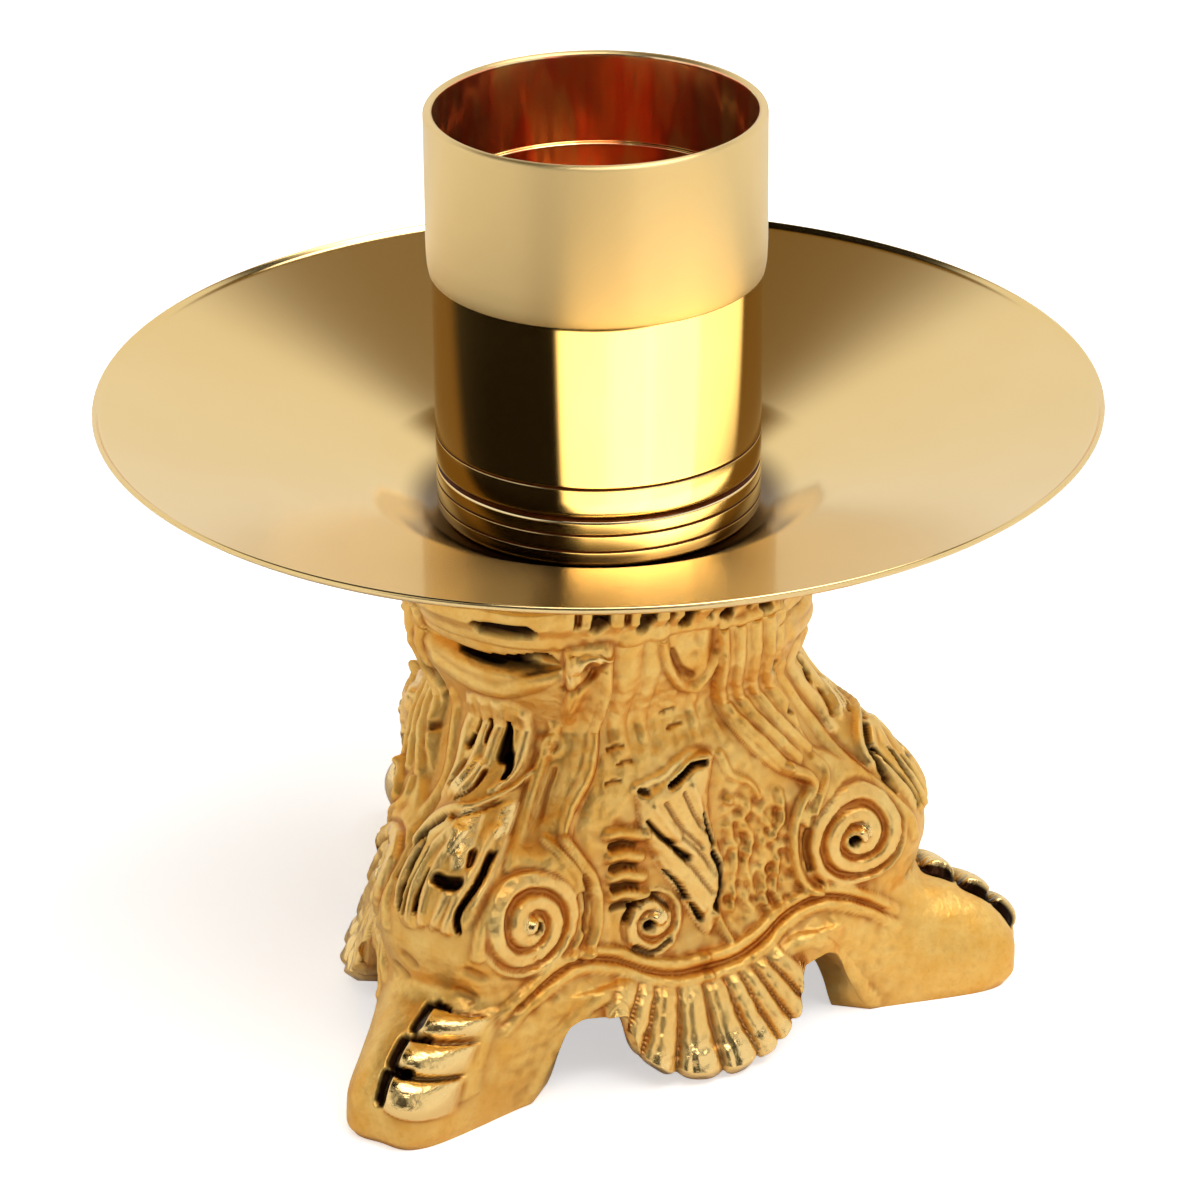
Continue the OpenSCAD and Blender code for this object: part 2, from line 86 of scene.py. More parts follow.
# The bush's seat in the cup's floor, and the recess under the cup for the washer
BUSH_R = 7.0
BUSH_FLANGE_R = 9.0
BUSH_STEP = 6.5
RECESS_R = 14.3
RECESS_H = 0.8
GROOVE_Z = 6.7
GROOVE_W = 0.9
GROOVE_D = 0.55
# Finer turned lines beside the groove
LINES_Z = (2.4, 4.6, 10.8)
LINE_W = 0.36
LINE_D = 0.14
SLEEVE_R = 21.2
# The ring's lower edge is drawn in: the radius from the ring's own, and the height from its foot
DRAWN_EDGE = ((-0.35, 0.0), (-0.12, 1.2), (0.0, 3.4))
SLEEVE_BORE_R = 20.0
SLEEVE_H = 21.0
SLEEVE_SKIRT = 9.0
SLIP_GAP = 0.05
ROD_R = 4.0
ROD_GAP = 0.4
ROOF_Z = 56.8
# The collar's tongues stand up round the seat of the pan
CROWN_Z = 65.0
CROWN_T = 2.4

# Patterns of the finishes: the width of the drawing marks in the bore, the casting's sand grain, which
# is drawn coarser than real sand so that it shows, the blotches of its patina, the waves of its skin,
# and the grain of the leather
DRAWN_W = 5.263
SAND_GRAIN = 0.8
BLOTCH = 4.167
SKIN_WAVE = 2.326
LEATHER_GRAIN = 0.667
# The pan's flat is painted with a dark brown shade round the cup's foot, fading out over this far beyond
CONTACT_SHADE_FADE = 4.5

# Turned pieces: steps of a full turn, the length from which a wall gets short edges at its ends, and
# the length of those
TURN_STEPS = 288
LONG_WALL = 2.0
SHORT_EDGE = 0.3

# The casting's mesh: columns of half a third, rows of the feet, the body and the crown, and the levels
# of its inside. Columns lie closer where the ornament is: the share of the way, and the column there.
COLUMNS = 160
FOOT_ROWS = 84
BODY_ROWS = 180
CROWN_ROWS = 9
INNER_LEVELS = (0.85, 0.79, 0.74, 0.67, 0.6, 0.53, 0.45, 0.38, 0.31, 0.25, 0.18, 0.02)
COLUMN_MARKS = np.array([[0, 0], [0.10, 26], [0.30, 52], [0.42, 70], [0.70, 110], [1.0, 160]], float)
# Shares of the way from foot to face: where the face's ornament starts and the leg's ends, where the
# two begin to run into each other, over what share they do, and how much sooner beside the volutes.
# The volutes' reach is how far above and below their middle that holds, in millimetres.
FACE_FROM = 0.12
LEG_TO = 0.37
BLEND_FROM = 0.27
BLEND_OVER = 0.08
BLEND_SOONER = 0.11
VOLUTE_REACH = 12.0
# Shares of the height over which the ornament dies away at the floor and at the top of the crown
FLOOR_FADE = 0.01
CROWN_FADE = 0.004
# The hollow ends this far above the skin's lower edge
RIM_STEP = 0.02
# The layers that tell the casting's finish how recessed and burnished each point is, and its painted shade
WEAR_AND_SHADE = ("recess", "polish", "painted_shade")


# Meshes

def linked(name, data):
    """An object in the scene that shows this data."""
    obj = bpy.data.objects.new(name, data)
    bpy.context.scene.collection.objects.link(obj)
    return obj


def piece(name, bm, material, node, body):
    """Makes a bmesh a piece that stands for a CAD node and rides on its body."""
    mesh = bpy.data.meshes.new(name)
    bm.to_mesh(mesh)
    bm.free()
    for face in mesh.polygons:
        face.use_smooth = True
    mesh.materials.append(material)
    obj = linked(name, mesh)
    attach(obj, body)
    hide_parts(node)
    return obj


def turned(profile, rounds):
    """Spins a closed profile of (radius, height) points about Z. rounds maps a point's place in the
    list to the radius of its rounded corner."""
    bm = bmesh.new()
    verts = [bm.verts.new((r * MM, 0, z * MM)) for r, z in profile]
    for a, b in zip(verts, verts[1:] + verts[:1]):
        bm.edges.new((a, b))
    for size in sorted(set(rounds.values())):
        corners = [verts[i] for i, radius in rounds.items() if radius == size]
        bmesh.ops.bevel(bm, geom=corners, offset=size * MM, offset_type="OFFSET", segments=6,
                        profile=0.5, affect="VERTICES", material=-1, clamp_overlap=False)
    # Short edges beside each corner keep the long walls from shading into the rounding
    for edge in list(bm.edges):
        length = edge.calc_length()
        if length > LONG_WALL * MM:
            low, high = edge.verts
            _, near = bmesh.utils.edge_split(edge, low, SHORT_EDGE * MM / length)
            far = next(e for e in near.link_edges if high in e.verts)
            bmesh.utils.edge_split(far, high, SHORT_EDGE * MM / far.calc_length())
    geom = list(bm.verts) + list(bm.edges)
    bmesh.ops.spin(bm, geom=geom, cent=(0, 0, 0), axis=(0, 0, 1), angle=math.tau, steps=TURN_STEPS,
                   use_merge=True)
    bmesh.ops.recalc_face_normals(bm, faces=bm.faces)
    return bm


# Materials

def linear(hex_colour):
    """Turns an sRGB hex colour to the linear colour that Blender works in."""
    parts = [int(hex_colour[i:i + 2], 16) / 255 for i in (1, 3, 5)]
    return tuple(c / 12.92 if c <= 0.04045 else ((c + 0.055) / 1.055) ** 2.4 for c in parts) + (1.0,)


def connect(tree, node, inputs):
    """Gives each of these inputs of a node a value, or a link from another node's output."""
    for key, value in inputs.items():
        if isinstance(value, bpy.types.NodeSocket):
            tree.links.new(value, node.inputs[key])
        else:
            node.inputs[key].default_value = value


def add(tree, kind, inputs=None, **settings):
    """Adds a node with its settings and inputs."""
    node = tree.nodes.new(kind)
    for key, value in settings.items():
        setattr(node, key, value)
    connect(tree, node, inputs or {})
    return node


def new_material(name):
    """A new material and its nodes."""
    material = bpy.data.materials.new(name)
    material.use_nodes = True
    return material, material.node_tree


def shaded(material, inputs):
    """Gives the material's shader its values and links."""
    tree = material.node_tree
    connect(tree, tree.nodes["Principled BSDF"], inputs)
    return material


def mottle(tree, size, detail, low, high):
    """A colour that drifts between two shades of one finish, in clouds of this size in millimetres."""
    place = add(tree, "ShaderNodeTexCoord").outputs["Object"]
    cloud = add(tree, "ShaderNodeTexNoise", {"Vector": place, "Scale": 1 / (size * MM), "Detail": detail})
    return add(tree, "ShaderNodeMix", {"Factor": cloud.outputs["Fac"], "A": linear(low), "B": linear(high)},
               data_type="RGBA").outputs["Result"]


def polished_gold():
    """Gold plate over a buffed brass cup: a clear mirror, a little uneven in its colour."""
    material, tree = new_material("polished_gilt_brass")
    colour = mottle(tree, 16.67, 3.0, "#F8DEA6", "#FAE6B6")
    return shaded(material, {"Base Color": colour, "Metallic": 1.0, "Roughness": 0.03})


def deep_gold():
    """The bore of the cup and ring, plated and left bright: light that comes out of it has met the gold
    several times and is red. Drawing marks four times as long as they are wide run up the wall."""
    material, tree = new_material("bright_gilt_bore")
    place = add(tree, "ShaderNodeTexCoord").outputs["Object"]
    long = add(tree, "ShaderNodeMapping", {"Vector": place, "Scale": (1.0, 1.0, 0.25)}).outputs["Vector"]
    drawn = add(tree, "ShaderNodeTexNoise", {"Vector": long, "Scale": 1 / (DRAWN_W * MM),
                                             "Detail": 2.0}).outputs["Fac"]
    bump = add(tree, "ShaderNodeBump", {"Height": drawn, "Strength": 0.5, "Distance": 1.0 * MM})
    marks = add(tree, "ShaderNodeMapRange", {"Value": drawn, "From Min": 0.46, "From Max": 0.57},
                interpolation_type="SMOOTHSTEP")
    colour = add(tree, "ShaderNodeMix", {"Factor": marks.outputs["Result"], "A": linear("#FFAC80"),
                                         "B": linear("#FFE4AC")}, data_type="RGBA")
    return shaded(material, {"Base Color": colour.outputs["Result"], "Metallic": 1.0, "Roughness": 0.19,
                             "Normal": bump.outputs["Normal"]})


def satin_gold(name, low, high, roughness, anisotropic, contact_shade_within=None):
    """Gold plate over a brass sheet that was brushed while it turned: a soft sheen with fine rings.
    Inside the radius that the last argument gives, where the cup's foot stands on the flat, dark
    brown shade is painted on."""
    material, tree = new_material(name)
    colour = mottle(tree, 22.22, 4.0, low, high)
    if contact_shade_within:
        # Painted shade round the cup's foot, dark brown
        place = add(tree, "ShaderNodeTexCoord").outputs["Object"]
        flat = add(tree, "ShaderNodeVectorMath", {0: place, 1: (1.0, 1.0, 0.0)}, operation="MULTIPLY")
        reach = add(tree, "ShaderNodeVectorMath", {0: flat.outputs["Vector"]}, operation="LENGTH")
        contact_shade = add(tree, "ShaderNodeMapRange",
                   {"Value": reach.outputs["Value"], "From Min": (contact_shade_within + CONTACT_SHADE_FADE) * MM,
                    "From Max": contact_shade_within * MM, "To Max": 0.85}, interpolation_type="SMOOTHSTEP")
        colour = add(tree, "ShaderNodeMix", {"Factor": contact_shade.outputs["Result"], "A": colour,
                                             "B": linear("#3A1A08")}, data_type="RGBA").outputs["Result"]
    # The rings run round the axis, so the gloss is drawn out across them
    tangent = add(tree, "ShaderNodeTangent", direction_type="RADIAL", axis="Z")
    return shaded(material, {"Base Color": colour, "Metallic": 1.0, "Roughness": roughness,
                             "Anisotropic": anisotropic, "Anisotropic Rotation": 0.25,
                             "Tangent": tangent.outputs["Tangent"]})


def cast_gold():
    """Gold plate over a sand casting: matt and grainy, with a brown patina in the hollows, painted shade
    that darkens the deepest cuts to near black, and burnished high points."""
    material, tree = new_material("cast_gilt_brass")
    place = add(tree, "ShaderNodeTexCoord").outputs["Object"]
    grain, blotch, skin = [
        add(tree, "ShaderNodeTexNoise", {"Vector": place, "Scale": 1 / (size * MM), "Detail": detail,
                                         "Roughness": roughness}).outputs["Fac"]
        for size, detail, roughness in ((SAND_GRAIN, 5.0, 0.65), (BLOTCH, 4.0, 0.6), (SKIN_WAVE, 2.0, 0.5))]
    recess, polish, painted_shade = [add(tree, "ShaderNodeAttribute", attribute_name=layer).outputs["Fac"]
                            for layer in WEAR_AND_SHADE]
    spread = add(tree, "ShaderNodeMapRange", {"Value": blotch, "From Min": 0.32, "From Max": 0.68})
    pits = add(tree, "ShaderNodeMapRange", {"Value": grain, "From Min": 0.52, "From Max": 0.36,
                                            "To Max": 0.12})
    stained = add(tree, "ShaderNodeMath", {0: pits.outputs["Result"], 1: recess}, operation="MAXIMUM")
    # Gold in two shades, then the brown of the hollows over it, the burnished crests and the painted shade
    colour = linear("#EFB656")
    for share, shade in ((spread.outputs["Result"], "#F8D07A"), (stained.outputs[0], "#B05E1A"),
                         (polish, "#FBD68E"), (painted_shade, "#1C0E06")):
        colour = add(tree, "ShaderNodeMix", {"Factor": share, "A": colour, "B": linear(shade)},
                     data_type="RGBA").outputs["Result"]
    matt = add(tree, "ShaderNodeMapRange", {"Value": polish, "To Min": 0.46, "To Max": 0.16})
    soft = add(tree, "ShaderNodeBump", {"Height": skin, "Strength": 0.35, "Distance": 0.8 * MM})
    bump = add(tree, "ShaderNodeBump", {"Height": grain, "Normal": soft.outputs["Normal"],
                                        "Strength": 0.35, "Distance": 0.25 * MM})
    return shaded(material, {"Base Color": colour, "Metallic": 1.0, "Roughness": matt.outputs["Result"],
                             "Normal": bump.outputs["Normal"]})


def dark_groove_finish():
    """The bottoms of the turned groove and lines: dark brown, matt and speckled."""
    material, tree = new_material("dark_groove_lines")
    colour = mottle(tree, 1.111, 3.0, "#2A1206", "#6A3412")
    return shaded(material, {"Base Color": colour, "Metallic": 1.0, "Roughness": 0.45})


def plain_metal(name, low, high, roughness):
    """A machined part inside the object: plain turned or zinc-plated metal with a faint mottle."""
    material, tree = new_material(name)
    colour = mottle(tree, 2.0, 3.0, low, high)
    return shaded(material, {"Base Color": colour, "Metallic": 1.0, "Roughness": roughness})


def leather():
    """Pressed brown leather: dull, with a fine grain."""
    material, tree = new_material("pressed_leather")
    place = add(tree, "ShaderNodeTexCoord").outputs["Object"]
    grain = add(tree, "ShaderNodeTexVoronoi", {"Vector": place,
                                               "Scale": 1 / (LEATHER_GRAIN * MM)}).outputs["Distance"]
    colour = add(tree, "ShaderNodeMix", {"Factor": grain, "A": linear("#4A2A16"), "B": linear("#6B4125")},
                 data_type="RGBA")
    bump = add(tree, "ShaderNodeBump", {"Height": grain, "Strength": 0.3, "Distance": 0.1 * MM})
    return shaded(material, {"Base Color": colour.outputs["Result"], "Roughness": 0.7,
                             "Normal": bump.outputs["Normal"]})


# Cast base: the same contour as the CAD model, drawn fine enough to carry the ornament

# One row for each level: the height as a share of the base's, the size that the row follows (foot, knee
# or collar), then shares of that size, as in the CAD model
SECTION = np.array([
    [0.000, 0, 0.975, 0.935, 0.106, 0.497, 0.436, 0.523, 0.320, 0.580, 0.165, 0.622],
    [0.027, 0, 0.998, 0.952, 0.110, 0.500, 0.433, 0.523, 0.320, 0.572, 0.165, 0.604],
    [0.073, 0, 1.000, 0.950, 0.108, 0.503, 0.428, 0.524, 0.320, 0.560, 0.165, 0.572],
    [0.127, 0, 0.972, 0.915, 0.100, 0.507, 0.418, 0.528, 0.320, 0.547, 0.165, 0.549],
    [0.167, 0, 0.928, 0.870, 0.092, 0.511, 0.408, 0.530, 0.320, 0.536, 0.165, 0.534],
    [0.192, 0, 0.878, 0.826, 0.090, 0.513, 0.403, 0.530, 0.320, 0.528, 0.165, 0.523],
    [0.212, 0, 0.832, 0.785, 0.096, 0.514, 0.402, 0.528, 0.320, 0.520, 0.165, 0.510],
    [0.232, 1, 0.995, 0.950, 0.146, 0.657, 0.525, 0.664, 0.410, 0.650, 0.218, 0.640],
    [0.260, 1, 0.966, 0.923, 0.168, 0.636, 0.534, 0.637, 0.410, 0.626, 0.225, 0.618],
    [0.301, 1, 0.986, 0.934, 0.184, 0.620, 0.548, 0.618, 0.410, 0.600, 0.235, 0.594],
    [0.350, 1, 1.000, 0.945, 0.190, 0.616, 0.554, 0.612, 0.410, 0.592, 0.240, 0.588],
    [0.404, 1, 0.993, 0.940, 0.188, 0.615, 0.551, 0.610, 0.408, 0.588, 0.238, 0.585],
    [0.454, 1, 0.967, 0.904, 0.174, 0.610, 0.528, 0.606, 0.398, 0.583, 0.228, 0.580],
    [0.499, 1, 0.922, 0.844, 0.158, 0.597, 0.484, 0.596, 0.378, 0.580, 0.215, 0.577],
    [0.545, 1, 0.864, 0.758, 0.147, 0.564, 0.444, 0.578, 0.345, 0.577, 0.195, 0.577],
    [0.604, 1, 0.772, 0.664, 0.143, 0.528, 0.380, 0.560, 0.288, 0.570, 0.166, 0.573],
    [0.667, 2, 0.903, 0.813, 0.206, 0.677, 0.468, 0.716, 0.342, 0.735, 0.197, 0.739],
    [0.709, 2, 0.839, 0.768, 0.219, 0.639, 0.452, 0.671, 0.326, 0.684, 0.194, 0.690],
    [0.740, 2, 0.800, 0.739, 0.223, 0.616, 0.439, 0.645, 0.316, 0.655, 0.194, 0.658],
    [0.779, 2, 0.819, 0.761, 0.223, 0.635, 0.448, 0.665, 0.323, 0.674, 0.194, 0.677],
    [0.820, 2, 0.855, 0.797, 0.226, 0.671, 0.465, 0.703, 0.332, 0.713, 0.197, 0.719],
    [0.863, 2, 0.874, 0.819, 0.226, 0.694, 0.474, 0.729, 0.339, 0.742, 0.197, 0.748],
    [0.877, 2, 0.845, 0.794, 0.223, 0.690, 0.465, 0.732, 0.335, 0.745, 0.197, 0.752],
    [0.890, 2, 0.797, 0.752, 0.219, 0.684, 0.448, 0.732, 0.332, 0.748, 0.197, 0.755],
    [0.909, 2, 0.871, 0.832, 0.216, 0.694, 0.474, 0.735, 0.335, 0.752, 0.197, 0.758],
    [0.938, 2, 0.890, 0.855, 0.216, 0.703, 0.484, 0.742, 0.342, 0.761, 0.200, 0.768],
    [0.947, 2, 0.935, 0.903, 0.216, 0.713, 0.506, 0.765, 0.352, 0.794, 0.203, 0.803],
    [0.971, 2, 0.952, 0.919, 0.219, 0.726, 0.516, 0.777, 0.358, 0.810, 0.206, 0.819],
    [1.000, 2, 1.000, 0.968, 0.226, 0.758, 0.535, 0.823, 0.368, 0.861, 0.213, 0.871]])
SIZES = np.array([FOOT_REACH, KNEE_REACH, COLLAR_REACH])
LEVELS = SECTION[:, 0]
GUIDES = SECTION[:, 2:] * SIZES[SECTION[:, 1].astype(int)][:, None]
# The edge under the arches: the share of the way from foot to face, and of the arch's height
EDGE = np.array([
    [0.000, 0.000], [0.380, 0.000], [0.400, 0.120], [0.433, 0.430], [0.480, 0.740], [0.545, 0.940],
    [0.600, 1.000], [0.690, 1.000], [0.716, 0.630], [0.743, 0.440], [0.785, 0.280], [0.831, 0.140],
    [0.920, 0.055], [1.000, 0.030]])
# Below this share of the height the levels run down to the arched edge instead of the floor
SQUEEZE = 0.232
HALF = math.radians(60)
FIRST_FOOT = -150.0


def smooth_lookup(x, keys, values):
    """A smooth curve through a table that never runs past its values."""
    h = np.diff(keys)
    slope = np.diff(values) / h
    tangent = np.zeros_like(values)
    same = slope[:-1] * slope[1:] > 0
    w1, w2 = 2 * h[1:] + h[:-1], h[1:] + 2 * h[:-1]
    safe = np.where(slope == 0, 1, slope)
    tangent[1:-1] = np.where(same, (w1 + w2) / (w1 / safe[:-1] + w2 / safe[1:]), 0)
    tangent[0], tangent[-1] = slope[0], slope[-1]
    k = np.clip(np.searchsorted(keys, x, side="right") - 1, 0, len(keys) - 2)
    t = (x - keys[k]) / h[k]
    a, b = values[k], values[k + 1]
    return (a * (1 + 2 * t) * (1 - t) ** 2 + tangent[k] * h[k] * t * (1 - t) ** 2
            + b * t ** 2 * (3 - 2 * t) + tangent[k + 1] * h[k] * t ** 2 * (t - 1))


def clamp(x):
    """Holds a share between 0 and 1."""
    return np.clip(x, 0, 1)


def from_face(out, along):
    """A point of the face in the axes of the foot beside it."""
    return np.stack([out * math.cos(HALF) + along * math.sin(HALF),
                     out * math.sin(HALF) - along * math.cos(HALF)], -1)


def mirrored(p, angle):
    """The point on the other side of the plane through the axis at this angle."""
    c, s = math.cos(2 * angle), math.sin(2 * angle)
    return np.stack([p[..., 0] * c + p[..., 1] * s, p[..., 0] * s - p[..., 1] * c], -1)


def curve(f, a, b, c, d):
    """The place at share f between b and c, on a smooth curve through a, b, c and d."""
    return (2 * b + f * (c - a) + f ** 2 * (2 * a - 5 * b + 4 * c - d) + f ** 3 * (3 * b - a - 3 * c + d)) / 2


def outline(guides, way):
    """The level's outline from the middle of the foot, at way 0, to the middle of the face, at 1."""
    ends = np.stack([mirrored(guides[1], 0)] + guides + [mirrored(guides[4], HALF)], 0)
    steps = len(guides) - 1
    k = np.minimum((way * steps).astype(int), steps - 1)
    f = (way * steps - k)[:, None]
    return curve(f, *[ends[k + i, np.arange(len(way))] for i in range(4)])


def outer_row(level, way):
    """The outside of the casting at one level; above the collar's top the shape stays as it is there."""
    v = [smooth_lookup(np.full_like(way, min(level, 1.0)), LEVELS, column) for column in GUIDES.T]
    zero = np.zeros_like(way)
    guides = [np.stack([v[0], zero], -1), np.stack([v[1], v[2]], -1), from_face(v[3], v[4]),
              from_face(v[5], v[6]), from_face(v[7], v[8]), from_face(v[9], zero)]
    edge = ARCH_H * smooth_lookup(way, EDGE[:, 0], EDGE[:, 1])
    z = level * BASE_H if level >= SQUEEZE else edge + (SQUEEZE * BASE_H - edge) * level / SQUEEZE
    return np.column_stack([outline(guides, way), np.broadcast_to(z, way.shape)])


def inner_row(level, way):
    """The inside of the casting at one level."""
    v = [smooth_lookup(np.full_like(way, level), LEVELS, column) for column in GUIDES.T]
    reach = np.minimum(v[0], KNEE_REACH * HOLLOW_SHARE + WALL) - WALL * FOOT_WALL_SHARE
    corner = np.minimum(v[1] - WALL, reach - WALL / 2)
    zero = np.zeros_like(way)
    guides = [np.stack([reach, zero], -1), np.stack([corner, v[2] - WALL / 2], -1),
              from_face(v[3] - WALL, np.minimum(v[4], v[3]) - WALL),
              from_face(v[5] - WALL, np.minimum(v[6], v[5] / 2)), from_face(v[7] - WALL, v[8]),
              from_face(v[9] - WALL, zero)]
    return np.column_stack([outline(guides, way), np.full_like(way, level * BASE_H)])


# Ornament of the base, in millimetres. On a face, a point is (along the face from its middle, height).
# On a leg it is (across from the leg's middle, way up the front of the leg from the floor).
VOLUTE_Z = 25.0
VOLUTES = {-1: (-24.2, VOLUTE_Z), 1: (23.0, VOLUTE_Z + 0.5)}


def curve_through(points, steps=8):
    """A smooth line through a few points."""
    p = np.array(points, float)
    if len(p) < 3:
        return p
    q = np.vstack([2 * p[0] - p[1], p, 2 * p[-1] - p[-2]])
    out = [curve(f, *q[i:i + 4]) for i in range(len(p) - 1) for f in np.arange(steps) / steps]
    return np.array(out + [p[-1]])


def distance_to(line, x, y):
    """Distance of every point from a line, and how far along the line its nearest place is."""
    best = np.full(x.shape, 1e9)
    place = np.zeros(x.shape)
    lengths = np.r_[0, np.cumsum(np.hypot(*np.diff(line, axis=0).T))]
    for i in range(len(line) - 1):
        (ax, ay), (bx, by) = line[i], line[i + 1]
        dx, dy = bx - ax, by - ay
        t = clamp(((x - ax) * dx + (y - ay) * dy) / max(dx * dx + dy * dy, 1e-9))
        d = np.hypot(x - ax - t * dx, y - ay - t * dy)
        near = d < best
        best = np.where(near, d, best)
        place = np.where(near, (lengths[i] + t * (lengths[i + 1] - lengths[i])) / lengths[-1], place)
    return best, place


class Relief:
    """Heights of the ornament over one third of the base, with how burnished it is and its painted shade."""

    def __init__(self, x, y, where):
        self.x, self.y, self.where = x, y, where
        self.height = np.zeros(x.shape)
        self.shine = np.zeros(x.shape)
        self.painted_shade = np.zeros(x.shape)

    def _near(self, line, width):
        low, high = line.min(0) - width, line.max(0) + width
        return (self.where & (self.x > low[0]) & (self.x < high[0])
                & (self.y > low[1]) & (self.y < high[1]))

    def stroke(self, points, width, height, start=1.0, end=1.0, power=1.0, shine=0.0, painted_shade=0.0):
        """A rounded ridge of this half width, or with a height below zero a rounded groove. start and
        end thin it towards its ends."""
        line = curve_through(points)
        near = self._near(line, width)
        if not near.any():
            return
        d, place = distance_to(line, self.x[near], self.y[near])
        w = width * (start + (end - start) * place)
        body = clamp(1 - (d / w) ** 2) ** power
        self.height[near] += height * body
        self.shine[near] = np.maximum(self.shine[near], shine * body)
        # The last argument paints shade into the stroke, darkening a deep cut towards black
        self.painted_shade[near] = np.maximum(self.painted_shade[near], painted_shade * clamp(body * 1.6))

    def both(self, points, *args, **kwargs):
        """The same stroke on the left and the right."""
        self.stroke(points, *args, **kwargs)
        self.stroke([(-a, b) for a, b in points], *args, **kwargs)

    def pad(self, points, height, slope, shine=0.0):
        """A raised flat shape with rounded sides of this width."""
        line = curve_through(list(points) + [points[0]], 5)
        near = self._near(line, 0.1)
        if not near.any():
            return
        x, y = self.x[near], self.y[near]
        inside = np.zeros(x.shape, bool)
        for (ax, ay), (bx, by) in zip(line, line[1:]):
            if ay != by:
                inside ^= ((ay > y) != (by > y)) & (x < ax + (y - ay) * (bx - ax) / (by - ay))
        d, _ = distance_to(line, x, y)
        rise = height * np.sqrt(clamp(1 - (1 - clamp(d / slope)) ** 2)) * inside
        self.height[near] = np.maximum(self.height[near], rise)
        self.shine[near] = np.maximum(self.shine[near], shine * inside)


def volute(relief, centre, radius, pitch, turn, height, depth):
    """A domed disc with one narrow groove that winds in to a small bright eye beside a pit darkened with
    painted shade. turn is -1 where it winds the other way."""
    dx, dy = (relief.x - centre[0]) * turn, relief.y - centre[1]
    r = np.hypot(dx, dy)
    near = relief.where & (r < radius + 1.0)
    phase = (r / pitch - np.arctan2(dy, dx) / math.tau + 0.15) % 1.0
    groove = clamp(1 - (np.abs(phase - 0.5) / 0.24) ** 2) * clamp((r - 1.0) / 0.6)
    inside = clamp((radius - r) / 1.0 + 0.5)
    inside = inside * inside * (3 - 2 * inside)
    rise = (height * (1.25 - 0.4 * r / radius) - depth * groove) * inside
    knob = clamp(1 - (np.hypot(dx - 0.7, dy - 0.6) / 1.2) ** 2) ** 0.5
    pit = clamp(1 - (np.hypot(dx + 0.7, dy + 0.3) / 1.0) ** 2)
    rise += 0.8 * knob - 1.1 * pit
    relief.height[near] = (relief.height * (1 - inside) + rise)[near]
    # Painted shade darkens the pit
    relief.painted_shade[near] = np.maximum(relief.painted_shade * (1 - inside), clamp(1.5 * pit))[near]
    shine = clamp(0.35 * inside * (1 - groove) + knob)
    relief.shine[near] = np.maximum(relief.shine * (1 - inside), shine)[near]


def uneven(x, y, size, seed):
    """Soft bumps of about this size, the same on every run."""
    rng = np.random.default_rng(seed)
    total = np.zeros(x.shape)
    waves = 14
    for _ in range(waves):
        angle = rng.uniform(0, math.tau)
        wave = size * rng.uniform(0.7, 1.5)
        push = rng.uniform(0, math.tau, 2)
        bend = 1.3 * np.sin(math.tau * (x * math.sin(angle) - y * math.cos(angle)) / wave / 1.7 + push[1])
        total += np.sin(math.tau * (x * math.cos(angle) + y * math.sin(angle)) / wave + push[0] + bend)
    return total / waves ** 0.5


